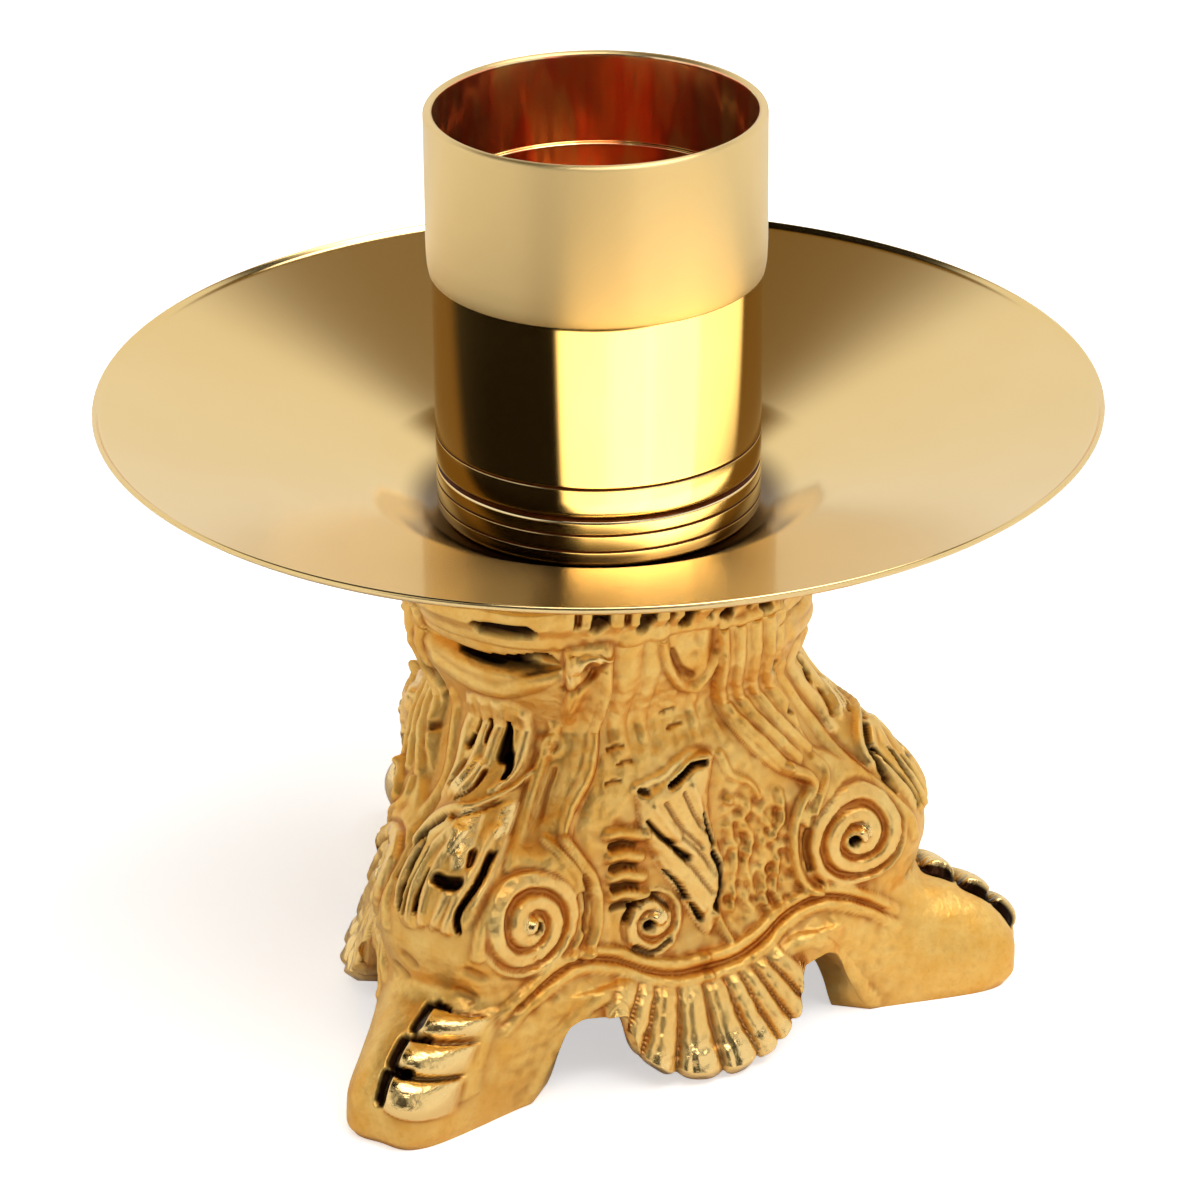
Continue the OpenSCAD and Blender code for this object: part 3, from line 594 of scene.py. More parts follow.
def face_ornament(s, z, where):
    """The ornament between two legs: scrolled straps, volutes, a curled leaf, a small scroll, waves of
    moulding and a scallop shell. Many of its cuts are darkened with painted shade."""
    face = Relief(s, z, where)
    # Straps that come down from the collar, turn at a sharp corner and close round the volutes
    face.pad([(-16.4, 59.5), (-15.8, 52), (-17.2, 47), (-19.8, 42), (-22, 37.5), (-25.5, 33), (-27.5, 28),
              (-22, 26), (-16, 28.5), (-17.9, 33.6), (-16.2, 36.6), (-13, 41), (-11.2, 45.5), (-10.7, 51),
              (-10.9, 59.5)], 0.9, 0.7)
    face.pad([(3.4, 59.5), (4.2, 52), (5.2, 46), (8.2, 40.6), (12.2, 36.4), (16.8, 33.4), (15, 29),
              (21, 26), (27.5, 28), (25.5, 33), (22.2, 36), (19.4, 40.5), (16.2, 45), (14.0, 50),
              (13.6, 59.5)], 0.9, 0.7)
    face.stroke([(-11.4, 59), (-11.2, 52), (-11.6, 46.5), (-13.2, 42), (-16.2, 37.3), (-18.0, 34.0)],
                0.85, 0.75)
    face.stroke([(-18.0, 34.0), (-16.4, 31.4), (-14.9, 28.6), (-14.3, 25.2), (-14.7, 21.5), (-16.4, 18.6)],
                0.85, 1.3)
    face.stroke([(-15.6, 58), (-15.4, 52.5), (-16.6, 47.5), (-19.2, 42.6), (-21.4, 38), (-24.4, 33.6),
                 (-26.6, 29.5)], 0.7, 0.5)
    face.stroke([(-13.3, 57), (-13.3, 52), (-14.1, 46.8), (-16.3, 42.2), (-19.6, 37.6), (-21.6, 34.4)],
                2.1, -0.8, start=0.5, power=1.5)
    face.stroke([(-20.2, 34.4), (-18.0, 31.2), (-16.6, 28.2), (-16.2, 25), (-16.8, 21.6), (-18.6, 18.9)],
                0.55, 0.55)
    # The near strap's rounded top
    face.stroke([(-15.6, 55.6), (-13.6, 57.6), (-11.4, 58.4)], 1.7, 0.7, end=0.7, shine=0.6)
    face.stroke([(-18.4, 53.0), (-15.6, 53.4), (-13.2, 54.8), (-11.6, 57.4)], 0.5, -0.6, painted_shade=0.15)
    # Ribs of the far strap, which run together at its corner
    for top, mid, low, last in (((4.4, 58), (5.2, 50), (7.0, 44.6), (13.4, 36.6)),
                                ((6.8, 58), (7.6, 50), (9.4, 44.6), (15.4, 36.9)),
                                ((9.2, 58), (9.9, 50), (11.7, 44.8), (17.4, 37.4)),
                                ((11.4, 58), (11.9, 51), (13.8, 45.4), (19.4, 38.0))):
        face.stroke([top, mid, low, ((low[0] + last[0]) / 2 + 0.2, 40.4), last], 0.85, 0.65, end=0.8)
    face.stroke([(13.4, 36.6), (16.8, 33.8), (15.1, 31.2), (14.2, 28.2), (14.2, 24.4), (15.2, 20.8),
                 (17.2, 18.8)], 0.8, 1.1)
    face.stroke([(17.6, 36.2), (19.2, 34.2), (17.4, 31.4), (16.2, 28), (16.4, 23.6), (18.4, 19.8)],
                0.55, 0.55)
    face.stroke([(15.0, 47.2), (16.0, 44.0), (15.4, 42.6)], 0.65, -1.0, painted_shade=0.7)
    face.stroke([(13.0, 50.4), (14.4, 48.8)], 0.9, -0.7, painted_shade=0.45)
    face.stroke([(20.0, 42.2), (20.5, 40.8)], 0.6, -0.8, painted_shade=0.7)
    for side in (-1, 1):
        volute(face, VOLUTES[side], 6.9, 2.7, side, 1.1, 1.15)
        face.stroke([(side * 16.6, 29.6), (side * 15.9, 26.0), (side * 16.4, 22.2)], 0.55, -0.8, painted_shade=0.35)
    # Waves of moulding over the arches and the shell
    wave = [(0, 14.3), (4, 14.5), (8, 15.7), (12.5, 18.0), (17, 19.1), (21, 18.3), (25, 16.2), (28.5, 13.6)]
    face.both(wave, 0.85, 0.9)
    face.both([(a, b - 2.1) for a, b in wave], 0.8, 0.75)
    face.both([(a, b - 1.05) for a, b in wave], 0.4, -0.3)
    # Rounded border of the arch, down the heel of the foot
    face.both([(11.4, 12.9), (13.6, 13.7), (16.4, 12.9), (19.3, 9.9), (21.6, 6.6), (23.6, 3.4), (25.4, 0.6)],
              1.1, 0.45)
    shell(face)
    leaf(face)
    # Small scroll and the stepped lobes beside the leaf
    volute(face, (-6.4, 20.4), 4.4, 2.3, 1, 0.9, 0.95)
    face.stroke([(-10.2, 21.4), (-8.8, 23.4), (-6.2, 23.7), (-4.0, 21.8)], 0.42, -0.9, painted_shade=0.85)
    face.stroke([(-9.2, 17.6), (-7.0, 16.5), (-4.2, 17.3)], 0.42, -0.9, painted_shade=0.8)
    for height, length in ((33.4, 4.6), (30.4, 4.2), (27.6, 4.4), (25.0, 4.6)):
        face.stroke([(-12.2, height + 0.4), (-10.4, height + 0.3), (-12.0 + length, height - 0.7)], 1.1, 1.1,
                    start=0.8, end=0.9)
        face.stroke([(-11.8, height - 1.4), (-9.9, height - 1.5), (-8.3, height - 2.1)], 0.5, -0.6, start=1.2,
                    end=0.6, painted_shade=0.75)
    # Shield under the collar, with a rolled rim
    face.stroke([(-3.9, 58.6), (-2.9, 54.6), (-0.9, 51.4), (1.1, 50.0), (2.9, 51.6), (4.0, 54.6)],
                0.75, 0.85)
    face.stroke([(-2.4, 56.4), (-1.0, 53.6), (0.9, 51.9)], 0.6, -0.55, painted_shade=0.25)
    # Flutes that fall from the collar behind the leaf
    for x, low, width, rise in ((-8.2, 43.5, 2.0, 0.6), (-4.9, 44.5, 1.4, 0.4), (2.2, 43.0, 1.2, 0.3)):
        face.stroke([(x, 60.0), (x - 0.1, 52), (x - 0.5, low)], width, rise, end=0.6)
    for x, y in ((-9.4, 44.0), (-8.6, 42.2), (-10.6, 40.2), (-1.4, 46.8), (-0.9, 45.0)):
        face.stroke([(x - 1.0, y - 0.2), (x, y + 0.1), (x + 0.9, y)], 0.45, -0.45, start=0.5, end=0.5,
                    painted_shade=0.35)
    # Foliage on the other side of the leaf
    for points in ([(4.4, 40.5), (5.6, 37.6), (8.2, 36.0), (9.6, 33.4)],
                   [(5.0, 34.4), (7.6, 33.2), (10.4, 30), (11.8, 25.4), (11.4, 20.2)],
                   [(6.6, 31.4), (8.2, 28), (7.4, 24.4), (8.6, 20)], [(4.9, 30.6), (5.9, 26), (5.2, 19.0)],
                   [(9.8, 28.6), (9.8, 23.6), (9.9, 18.6)], [(12.4, 33.6), (12.6, 30.4), (11.6, 28)]):
        face.stroke(points, 0.75, 0.55, end=0.6)
    thicket = (clamp((s - 3.5) / 1.5) * clamp((14.0 - s) / 1.5) * clamp((z - 16) / 3)
               * clamp((40 - s * 0.4 - z) / 4))
    face.height += (0.2 * thicket + 0.07) * uneven(s, z, 2.3, 11) * where
    return face


# The scallop: its half width, the height of its upper end and how fast that end rises beside its
# middle, the width over which the lobes fade there, how far its edge is notched between them and up to
# what height, the place that they fan out from, and the gaps between them in degrees round that place
SHELL_HALF_W = 15.0
SHELL_TOP = 12.2
SHELL_TOP_RISE = 0.02
SHELL_FADE = 0.8
SHELL_NOTCH = 1.2
SHELL_NOTCH_TOP = 7.0
SHELL_FAN = (-1.5, 27.0)
SHELL_GAPS = np.array([-43.0, -32.5, -24.0, -11.5, 1.6, 13.0, 20.5, 27.5, 34.5, 42.0])


def shell_lobes(s, z):
    """How far across its lobe each place of the shell lies, from 0 to 1, and the lobe's number."""
    angle = np.degrees(np.arctan2(s - SHELL_FAN[0], SHELL_FAN[1] - z))
    k = np.clip(np.searchsorted(SHELL_GAPS, angle) - 1, 0, len(SHELL_GAPS) - 2)
    across = (angle - SHELL_GAPS[k]) / (SHELL_GAPS[k + 1] - SHELL_GAPS[k])
    return clamp(across), k, (angle > SHELL_GAPS[0]) & (angle < SHELL_GAPS[-1])


def shell_gaps(s, z):
    """1 in the gaps between the lobes and 0 on their crests, for the scalloped edge."""
    across, _, on = shell_lobes(s, z)
    return np.where(on & (np.abs(s) < SHELL_HALF_W), np.abs(2 * across - 1) ** 3, 0.0)


def shell(face):
    """The scallop's lobes, which fan out from under the moulding and are burnished at their ends."""
    across, k, on = shell_lobes(face.x, face.y)
    top = SHELL_TOP + SHELL_TOP_RISE * face.x ** 2
    near = face.where & (face.y < top + SHELL_FADE) & (np.abs(face.x) < SHELL_HALF_W) & on
    wide = np.diff(SHELL_GAPS)[k]
    ridge = clamp(1 - np.abs(2 * across - 1) ** 2.4) ** 0.6
    fade = clamp((top + SHELL_FADE - face.y) / (3 * SHELL_FADE))
    swell = clamp((top - face.y) / 9.0)
    rise = (0.9 + 1.1 * swell) * ridge * fade
    # The lobes turn under at their ends
    rise -= 0.9 * clamp(1 - face.y / 2.2) ** 2 * ridge
    face.height[near] = np.maximum(face.height[near], rise[near])
    line = clamp(1 - np.abs(across - 0.30) / 0.10) * fade * (wide > 10)
    face.height[near] -= 0.30 * line[near]
    ends = clamp((6.5 - face.y) / 3.0)
    face.shine[near] = np.maximum(face.shine, ridge * fade * (0.35 + 0.65 * ends))[near]
    # Painted shade darkens the cuts between the lobes, more towards their ends
    cut = clamp(1 - ridge * 1.7) * fade
    face.painted_shade[near] = np.maximum(face.painted_shade, cut * (0.30 + 0.35 * ends))[near]


def leaf(face):
    """The curled leaf that leans over the middle of the face."""
    face.pad([(-8.0, 38.4), (-3.8, 39.2), (0, 41.2), (3.0, 40.9), (2.1, 36), (2.6, 31), (4.2, 26), (3.8, 21),
              (1.6, 16.8), (-0.6, 19.4), (-2.8, 24), (-5.6, 29), (-7.6, 33.5)], 1.5, 2.4, shine=0.3)
    face.stroke([(-7.8, 38.9), (-3.8, 39.8), (0, 41.4), (2.9, 40.8)], 0.8, 0.5, shine=0.4)
    # The cuts under the leaf's curled edge and between its lobes are darkened with painted shade
    face.stroke([(-3.4, 38.4), (-1.8, 39.2), (0, 40.2), (1.8, 40.2)], 0.42, -1.0, painted_shade=1.0)
    face.stroke([(-7.4, 38.4), (-6.6, 38.2)], 0.5, -0.8, painted_shade=0.9)
    for points, width in (([(-6.9, 34.6), (-5.4, 32.4), (-3.6, 30.6)], 0.5),
                          ([(-3.4, 30.2), (-1.4, 28.2)], 0.55),
                          ([(-4.4, 27.0), (-2.6, 24.6), (-1.6, 22.6)], 0.45),
                          ([(-1.0, 21.8), (0.4, 19.0)], 0.5),
                          ([(0.9, 34.2), (1.5, 32.0), (2.4, 29.2)], 0.6),
                          ([(2.2, 28.0), (3.3, 25.6), (3.5, 22.6), (2.8, 20.4)], 0.95)):
        face.stroke(points, width, -1.2, start=0.5, end=1.0, painted_shade=1.0)
    for points in ([(-4.4, 36.6), (-2.4, 33), (0.6, 29.2)], [(-1.8, 37.4), (-0.4, 34), (1.2, 31.2)],
                   [(-3.2, 29.6), (-0.6, 26.4), (2.0, 22.4)], [(-2.2, 31.4), (0.4, 28.4), (2.4, 25.0)]):
        face.stroke(points, 0.5, -0.55, start=0.6, end=0.6, painted_shade=0.25)
    for points in ([(-6.0, 36.4), (-3.6, 32.8), (-0.4, 28.6)], [(-0.6, 38.0), (0.9, 33.6), (1.8, 29.6)],
                   [(-5.4, 28.6), (-2.6, 24.4), (0.4, 20.4)]):
        face.stroke(points, 0.8, 0.35, start=0.6, end=0.8, shine=0.6)
    face.stroke([(2.6, 19.6), (3.6, 16.8), (4.2, 15.6)], 0.9, 0.9, end=0.6)


# The toes: the middle of each roll up the leg, and where its hollow begins across it. Then how far
# across a roll's own middle lies, its half length and half width, its rise and its lean.
TOES = ((18.4, 1.6), (12.8, 1.2), (7.9, 1.4))
TOE_ACROSS = 4.0
TOE_HALF_L = 3.6
TOE_HALF_W = 2.5
TOE_RISE = 1.4
TOE_LEAN = 0.32


def leg_ornament(t, a, where):
    """The ornament on the front of a leg: toes, a plain knee, an acanthus leaf and two slots above it."""
    leg = Relief(t, a, where)
    # Toes: three burnished rolls to one side of the foot; painted shade makes the hollows at their ends black
    for middle, near_end in TOES:
        ridge = middle - TOE_LEAN * (leg.x - TOE_HALF_L)
        y, x = (leg.y - ridge) / TOE_HALF_W, (leg.x - TOE_ACROSS) / TOE_HALF_L
        body = clamp(1 - np.abs(y) ** 2.2) * clamp(1 - np.abs(x) ** 3)
        near = leg.where & (body > 0)
        leg.height[near] = np.maximum(leg.height, TOE_RISE * body ** 0.6)[near]
        leg.shine[near] = np.maximum(leg.shine, clamp(body * 3))[near]
        leg.stroke([(near_end - 0.9, middle + 2.6), (near_end - 0.7, middle - 0.6)], 1.1, -0.7, power=0.6,
                   painted_shade=1.0)
        leg.stroke([(near_end, middle + 3.3), (2.8, middle + 2.8)], 0.8, -0.9, painted_shade=1.0)
        leg.stroke([(2.6, middle + 2.8), (4.6, middle + 2.0), (7.2, middle + 1.0)], 0.55, -0.8, end=0.5,
                   painted_shade=0.7)
    leg.stroke([(7.6, 21), (7.9, 14), (8.1, 6)], 0.7, 0.35)
    # Rims beside the acanthus leaf
    leg.stroke([(-6.6, 31), (-7.4, 37), (-6.8, 44), (-5.8, 50), (-6.4, 56), (-7.2, 62)], 0.9, 0.6)
    leg.stroke([(6.9, 30), (7.5, 36), (7.2, 42), (6.4, 49), (6.6, 55), (7.4, 61)], 0.9, 0.8)
    leg.stroke([(8.9, 31), (9.2, 37), (8.6, 44), (8.0, 50), (8.3, 55)], 0.45, -0.4)
    # The leaf lies in two tiers; the upper tier's edge curls over the lower one
    leg.pad([(-5.6, 36), (-6.0, 41), (-5.0, 46), (-4.6, 52), (-4.9, 58), (-3.8, 63.6), (0, 65), (4.2, 63.6),
             (5.4, 58), (5.2, 52), (5.8, 46), (6.3, 40), (5.9, 35), (3.6, 32.6), (0.8, 33.4), (-2, 32.2),
             (-4, 33)], 0.55, 1.8)
    for points, width, rise in (([(-0.8, 46.4), (-3.4, 43), (-4.9, 38.6), (-5.1, 34.4)], 0.8, 0.35),
                                ([(0.2, 46), (-1.8, 42), (-2.4, 38), (-2.4, 33.4)], 0.7, 0.4),
                                ([(1, 45.5), (0.0, 41.5), (-0.5, 37.5), (-0.5, 33.4)], 0.8, 0.35),
                                ([(2.4, 38.4), (1.9, 35.8), (1.2, 33.4)], 0.9, 0.4),
                                ([(4.0, 45.5), (3.9, 41), (3.5, 37), (2.9, 33.2)], 0.9, 0.4),
                                ([(5.6, 44), (6.2, 40.5), (5.6, 36.5)], 0.7, 0.35),
                                ([(-3.6, 63), (-4.1, 58), (-3.5, 53), (-4.6, 48)], 1.0, 0.35),
                                ([(-1.0, 64), (-1.0, 58), (-1.4, 53.6), (-2.8, 49.4)], 0.9, 0.4),
                                ([(0.8, 64), (0.6, 58), (0.4, 54), (-0.8, 50.2)], 0.8, 0.35),
                                ([(4.2, 62.5), (4.3, 57.6), (3.9, 54.4), (2.4, 51.4)], 0.9, 0.5)):
        leg.stroke(points, width, rise, end=0.7, shine=0.45)
    leg.stroke([(5.8, 54.4), (4.4, 51.8), (1.8, 49.6), (-1.0, 48.2), (-3.4, 45.4), (-5.6, 41.4)], 0.65, 0.7,
               start=0.6, shine=0.5)
    # Painted shade in the cuts along and under the curled edge
    leg.stroke([(3.4, 49.4), (1.2, 48.2), (-0.6, 47.2)], 0.4, -0.5, painted_shade=0.4)
    leg.stroke([(-1.6, 46.4), (-3.6, 43.6), (-5.6, 39.6), (-6.4, 37)], 0.5, -0.8, end=0.6, painted_shade=0.9)
    for points, width in (([(1.2, 47.6), (1.5, 43.4)], 1.5), ([(4.6, 48.6), (4.9, 45.0)], 1.0),
                          ([(1.9, 41.8), (2.2, 41.2)], 0.8), ([(-0.2, 54.6), (-1.8, 50.6)], 0.9)):
        leg.stroke(points, width, 0.3, power=0.6, shine=1.0)
    # Slits between the lobes, painted black with shade
    for points, width, start, end, painted_shade in (
            ([(-3.3, 43.2), (-4.0, 39.5), (-4.3, 34.2)], 0.50, 0.6, 1.0, 1.0),
            ([(-1.9, 42.2), (-2.9, 38), (-3.3, 34.0)], 0.30, 0.7, 1.0, 0.85),
            ([(-1.0, 40.0), (-1.5, 36.8), (-1.5, 34.8)], 0.42, 0.5, 1.2, 1.0),
            ([(0.3, 39.3), (1.4, 39.0), (2.6, 38.9)], 1.15, 0.8, 1.0, 1.0),
            ([(3.1, 42.8), (3.4, 41.0)], 0.45, 1.0, 0.7, 0.6),
            ([(5.0, 42.4), (5.0, 38.8), (4.1, 35.4), (4.5, 33.2)], 0.50, 0.9, 0.9, 1.0),
            ([(2.0, 61.0), (2.2, 58.6), (2.5, 56.2)], 1.15, 0.25, 1.0, 1.0),
            ([(2.9, 56.4), (3.4, 54.6), (3.1, 53.2)], 0.60, 1.0, 0.6, 1.0),
            ([(-1.7, 60.6), (-1.9, 57.2)], 0.32, 1.0, 0.8, 0.75),
            ([(-0.2, 61.0), (-0.3, 57.8)], 0.30, 1.0, 0.8, 0.6),
            ([(-2.3, 57.9), (-2.6, 56.6)], 0.65, 0.7, 1.0, 0.9),
            ([(-2.2, 54.4), (-3.6, 50.2)], 0.35, 1.0, 0.6, 0.3),
            ([(0.9, 54.0), (0.2, 51.4), (-1.4, 49.4)], 0.35, 1.0, 0.6, 0.3)):
        leg.stroke(points, width, -1.2, start=start, end=end, painted_shade=painted_shade)
    # A bead beside the leaf, and shallow dents in the knee with a little painted shade
    leg.stroke([(7.2, 58.4), (7.5, 57.9)], 1.7, 0.5, power=0.7)
    leg.stroke([(7.3, 58.2), (7.4, 58.1)], 1.1, -0.5)
    leg.stroke([(7.3, 58.2), (7.4, 58.1)], 0.55, 0.9)
    for x, y in ((-2.8, 27.4), (6.3, 27.2), (4.6, 23.6), (-4.9, 24.6)):
        leg.stroke([(x - 0.6, y + 0.4), (x + 0.6, y - 0.4)], 1.1, -0.4, painted_shade=0.15)
    # Rolls above the leaf, and the two slots in the collar's block, painted black with shade
    leg.stroke([(-10.0, 67.4), (-4.0, 66.4), (2.0, 66.4), (6.0, 68.0), (9.4, 70.6)], 1.3, 0.5)
    leg.stroke([(-4.4, 72.4), (0.4, 72.4), (4.4, 73.0), (7.6, 73.8)], 1.7, -1.6, power=0.5, painted_shade=1.0)
    leg.stroke([(1.6, 80.4), (7.2, 80.7)], 1.6, -1.6, power=0.5, painted_shade=1.0)
    return leg


def collar_ornament(face):
    """Tongues round the collar, with deep gaps and finer cuts between them, open at its top. Painted
    shade darkens the gaps and cuts.
    """
    for x, low in ((-12.9, 62.5), (-7.1, 62.0), (-1.3, 61.4), (4.8, 60.9), (10.8, 60.6), (16.4, 60.4)):
        face.stroke([(x - 0.3, low), (x + 0.1, 65.6)], 1.15, -1.6, power=0.6, painted_shade=0.9)
        face.stroke([(x - 2.9, low + 0.2), (x - 2.6, 65.6)], 0.5, -0.9, painted_shade=0.5)


def base_third():
    """One third of the casting, from the middle of one foot across a face to the middle of the next, as
    rows of points, and how recessed and polished each point is and how much painted shade it has."""
    way_half = smooth_lookup(np.arange(COLUMNS + 1), COLUMN_MARKS[:, 1], COLUMN_MARKS[:, 0])
    way = np.r_[way_half, way_half[-2::-1]]
    side = np.r_[np.full(COLUMNS, -1.0), 0.0, np.full(COLUMNS, 1.0)]
    levels = np.r_[np.linspace(0, SQUEEZE, FOOT_ROWS, endpoint=False), np.linspace(SQUEEZE, 1, BODY_ROWS),
                   np.linspace(1, CROWN_Z / BASE_H, CROWN_ROWS)[1:]]

    def facing(rows):
        """Turns rows from the foot's axes to axes with the face's middle on +X: out, along, height."""
        x, y, z = rows[..., 0], rows[..., 1], rows[..., 2]
        return np.stack([x * math.cos(HALF) + y * math.sin(HALF),
                         (x * math.sin(HALF) - y * math.cos(HALF)) * side, z], -1)

    rows = np.array([outer_row(level, way) for level in levels])
    skin = facing(rows)
    middle = np.array([outer_row(level, np.zeros(1))[0] for level in levels])
    arc = np.r_[0, np.cumsum(np.hypot(*np.diff(middle[:, [0, 2]], axis=0).T))]

    normal = np.cross(np.gradient(skin, axis=1), np.gradient(skin, axis=0))
    normal /= np.linalg.norm(normal, axis=-1, keepdims=True)
    # At the ends of the third the skin runs square to the mirror plane
    for end, turn in ((0, -HALF), (-1, HALF)):
        wall = np.array([-math.sin(turn), math.cos(turn), 0.0])
        n = normal[:, end] - np.outer(normal[:, end] @ wall, wall)
        normal[:, end] = n / np.linalg.norm(n, axis=-1, keepdims=True)

    ways = np.broadcast_to(way, skin.shape[:2])
    arcs = np.broadcast_to(arc[:, None], skin.shape[:2])
    face = face_ornament(skin[..., 1], skin[..., 2], ways > FACE_FROM)
    collar_ornament(face)
    leg = leg_ornament(rows[..., 1] * -side, arcs, ways < LEG_TO)
    beside = clamp(1 - ((skin[..., 2] - VOLUTE_Z) / VOLUTE_REACH) ** 4)
    share = clamp((ways - BLEND_FROM + BLEND_SOONER * beside) / BLEND_OVER)
    share = share * share * (3 - 2 * share)
    height, shine, painted_shade = [on_face * share + on_leg * (1 - share) for on_face, on_leg in (
        (face.height, leg.height), (face.shine, leg.shine), (face.painted_shade, leg.painted_shade))]
    fade = clamp((levels[-1] - levels) / CROWN_FADE + 0.3) * clamp(levels / FLOOR_FADE)
    height *= fade[:, None]
    recess = hollows(height)
    skin = skin + normal * height[..., None]
    notch = SHELL_NOTCH * shell_gaps(skin[..., 1], skin[..., 2]) * clamp(1 - skin[..., 2] / SHELL_NOTCH_TOP)
    skin[..., 2] = np.clip(skin[..., 2] + notch, 0, CROWN_Z)

    # The wall's other side: crown, flat top, bore, roof, hollow and the rim that stands on the floor
    angles = np.linspace(-HALF, HALF, len(way))
    bore = (ROD_R + ROD_GAP) * np.column_stack([np.cos(angles), np.sin(angles)])
    crown = skin[-1]
    inset = crown[:, :2] * (1 - CROWN_T / np.linalg.norm(crown[:, :2], axis=1))[:, None]
    back = [np.column_stack([inset, crown[:, 2]])]
    back += [np.column_stack([ring, np.full(len(way), z)])
             for ring, z in ((inset, BASE_H), (bore, BASE_H), (bore, ROOF_Z))]
    back += [facing(inner_row(level, way)) for level in (ROOF_Z / BASE_H,) + INNER_LEVELS]
    back[-1][:, 2] = skin[0, :, 2] + RIM_STEP
    grid = np.concatenate([skin, np.array(back), skin[:1]], 0)
    wear_and_shade = np.zeros(grid.shape[:2] + (3,))
    wear_and_shade[:len(levels)] = np.stack([recess, shine, painted_shade], -1)
    return grid, wear_and_shade


def hollows(height):
    """How far each place lies below what is round it, from 0 to 1: near by and a little further off."""
    total = np.zeros_like(height)
    for reach, depth, share in ((2, 0.30, 0.85), (6, 0.75, 0.6)):
        blurred = height
        for _ in range(3):
            for axis in (0, 1):
                pad = [(reach + 1, reach) if axis == k else (0, 0) for k in (0, 1)]
                run = np.cumsum(np.pad(blurred, pad, mode="edge"), axis=axis)
                width = 2 * reach + 1
                ahead = run.take(range(width, run.shape[axis]), axis)
                blurred = (ahead - run.take(range(run.shape[axis] - width), axis)) / width
        total = np.maximum(total, share * clamp((blurred - height) / depth))
    return total


def build_base(material):
    """The casting, in three thirds that are the same."""
    grid, wear_and_shade = base_third()
    rows, columns = grid.shape[:2]
    for index in range(3):
        angle = math.radians(FIRST_FOOT) + HALF + index * 2 * HALF
        c, s = math.cos(angle), math.sin(angle)
        world = np.stack([grid[..., 0] * c - grid[..., 1] * s, grid[..., 0] * s + grid[..., 1] * c,
                          grid[..., 2]], -1) * MM
        bm = bmesh.new()
        bmesh.ops.create_grid(bm, x_segments=columns - 1, y_segments=rows - 1, size=1.0)
        mesh = bpy.data.meshes.new("scratch_grid")
        bm.to_mesh(mesh)
        bm.free()
        mesh.vertices.foreach_set("co", world.reshape(-1))
        for i, layer in enumerate(WEAR_AND_SHADE):
            mesh.attributes.new(layer, "FLOAT", "POINT").data.foreach_set("value", wear_and_shade[..., i].reshape(-1))
        bm = bmesh.new()
        bm.from_mesh(mesh)
        bm.verts.ensure_lookup_table()
        bpy.data.meshes.remove(mesh)
        last = (rows - 1) * columns
        ends = [[bm.verts[i * columns + k] for i in range(rows - 1)] for k in (0, columns - 1)]
        bmesh.ops.weld_verts(bm, targetmap={bm.verts[last + i]: bm.verts[i] for i in range(columns)})
        # Flat caps close the third where it meets its neighbours, in the middle of each foot
        for loop in ends:
            cap = bm.faces.new(loop)
            for edge in cap.edges:
                edge.smooth = False
        bmesh.ops.recalc_face_normals(bm, faces=bm.faces)
        piece("base_casting_%d" % (index + 1), bm, material, "base_casting", "base")


# Turned pieces

def build_pan(material):
    """The spun pan: a flat centre, a shallow well, a wide cone and a rolled rim."""
    sheet = [(ROD_R + ROD_GAP, PAN_Z), (PAN_FLAT_R, PAN_Z), (WELL_R, WELL_Z)]
    profile = (sheet + [(PAN_R + out, RIM_Z + up) for out, up in RIM_OUTLINE]
               + [(r, z - PAN_T) for r, z in reversed(sheet)])
    bm = turned(profile, {1: 1.0, 2: 1.2, 3: 0.3, 4: 0.3, 5: 0.3, 6: 0.4, 7: 1.6, 8: 1.6})
    piece("drip_pan_spun", bm, material, "drip_pan", "pan")


def line_bore(obj, material, radius, above):
    """Gives the wall inside this radius, above this height, the finish of the bore."""
    obj.data.materials.append(material)
    for face in obj.data.polygons:
        x, y, z = face.center
        face.material_index = int(math.hypot(x, y) < radius * MM and z > above * MM)


def build_cup(material, inside, groove_dark):
    """The polished cup: a deep bore, the bush's seat in its floor, and turned lines round its foot."""
    z = PAN_Z
    cuts = sorted([(level, LINE_W, LINE_D) for level in LINES_Z] + [(GROOVE_Z, GROOVE_W, GROOVE_D)])
    wall = [point for level, width, depth in cuts
            for point in ((CUP_R, z + level - width / 2), (CUP_R - depth, z + level),
                          (CUP_R, z + level + width / 2))]
    profile = ([(RECESS_R, z), (CUP_R, z)] + wall +
               [(CUP_R, z + CUP_H), (CUP_BORE_R, z + CUP_H), (CUP_BORE_R, z + CUP_FLOOR_T),
                (BUSH_FLANGE_R, z + CUP_FLOOR_T), (BUSH_FLANGE_R, z + BUSH_STEP),
                (BUSH_R, z + BUSH_STEP), (BUSH_R, z + RECESS_H), (RECESS_R, z + RECESS_H)])
    rounds = {1: 1.5}
    for i, (_, width, _) in enumerate(cuts):
        rounds.update({2 + 3 * i: width / 4, 3 + 3 * i: width / 5, 4 + 3 * i: width / 4})
    mouth = 2 + len(wall)
    rounds.update({mouth: 0.3, mouth + 1: 0.2, mouth + 2: 1.2})
    cup = piece("candle_cup_polished", turned(profile, rounds), material, "candle_cup", "cup")
    line_bore(cup, inside, CUP_BORE_R + 0.1, z + CUP_FLOOR_T - 0.1)
    cup.data.materials.append(groove_dark)
    for face in cup.data.polygons:
        x, y, level = face.center / MM
        for middle, width, depth in cuts:
            if CUP_BORE_R < math.hypot(x, y) < CUP_R - depth / 4 and abs(level - z - middle) < width / 2:
                face.material_index = 2


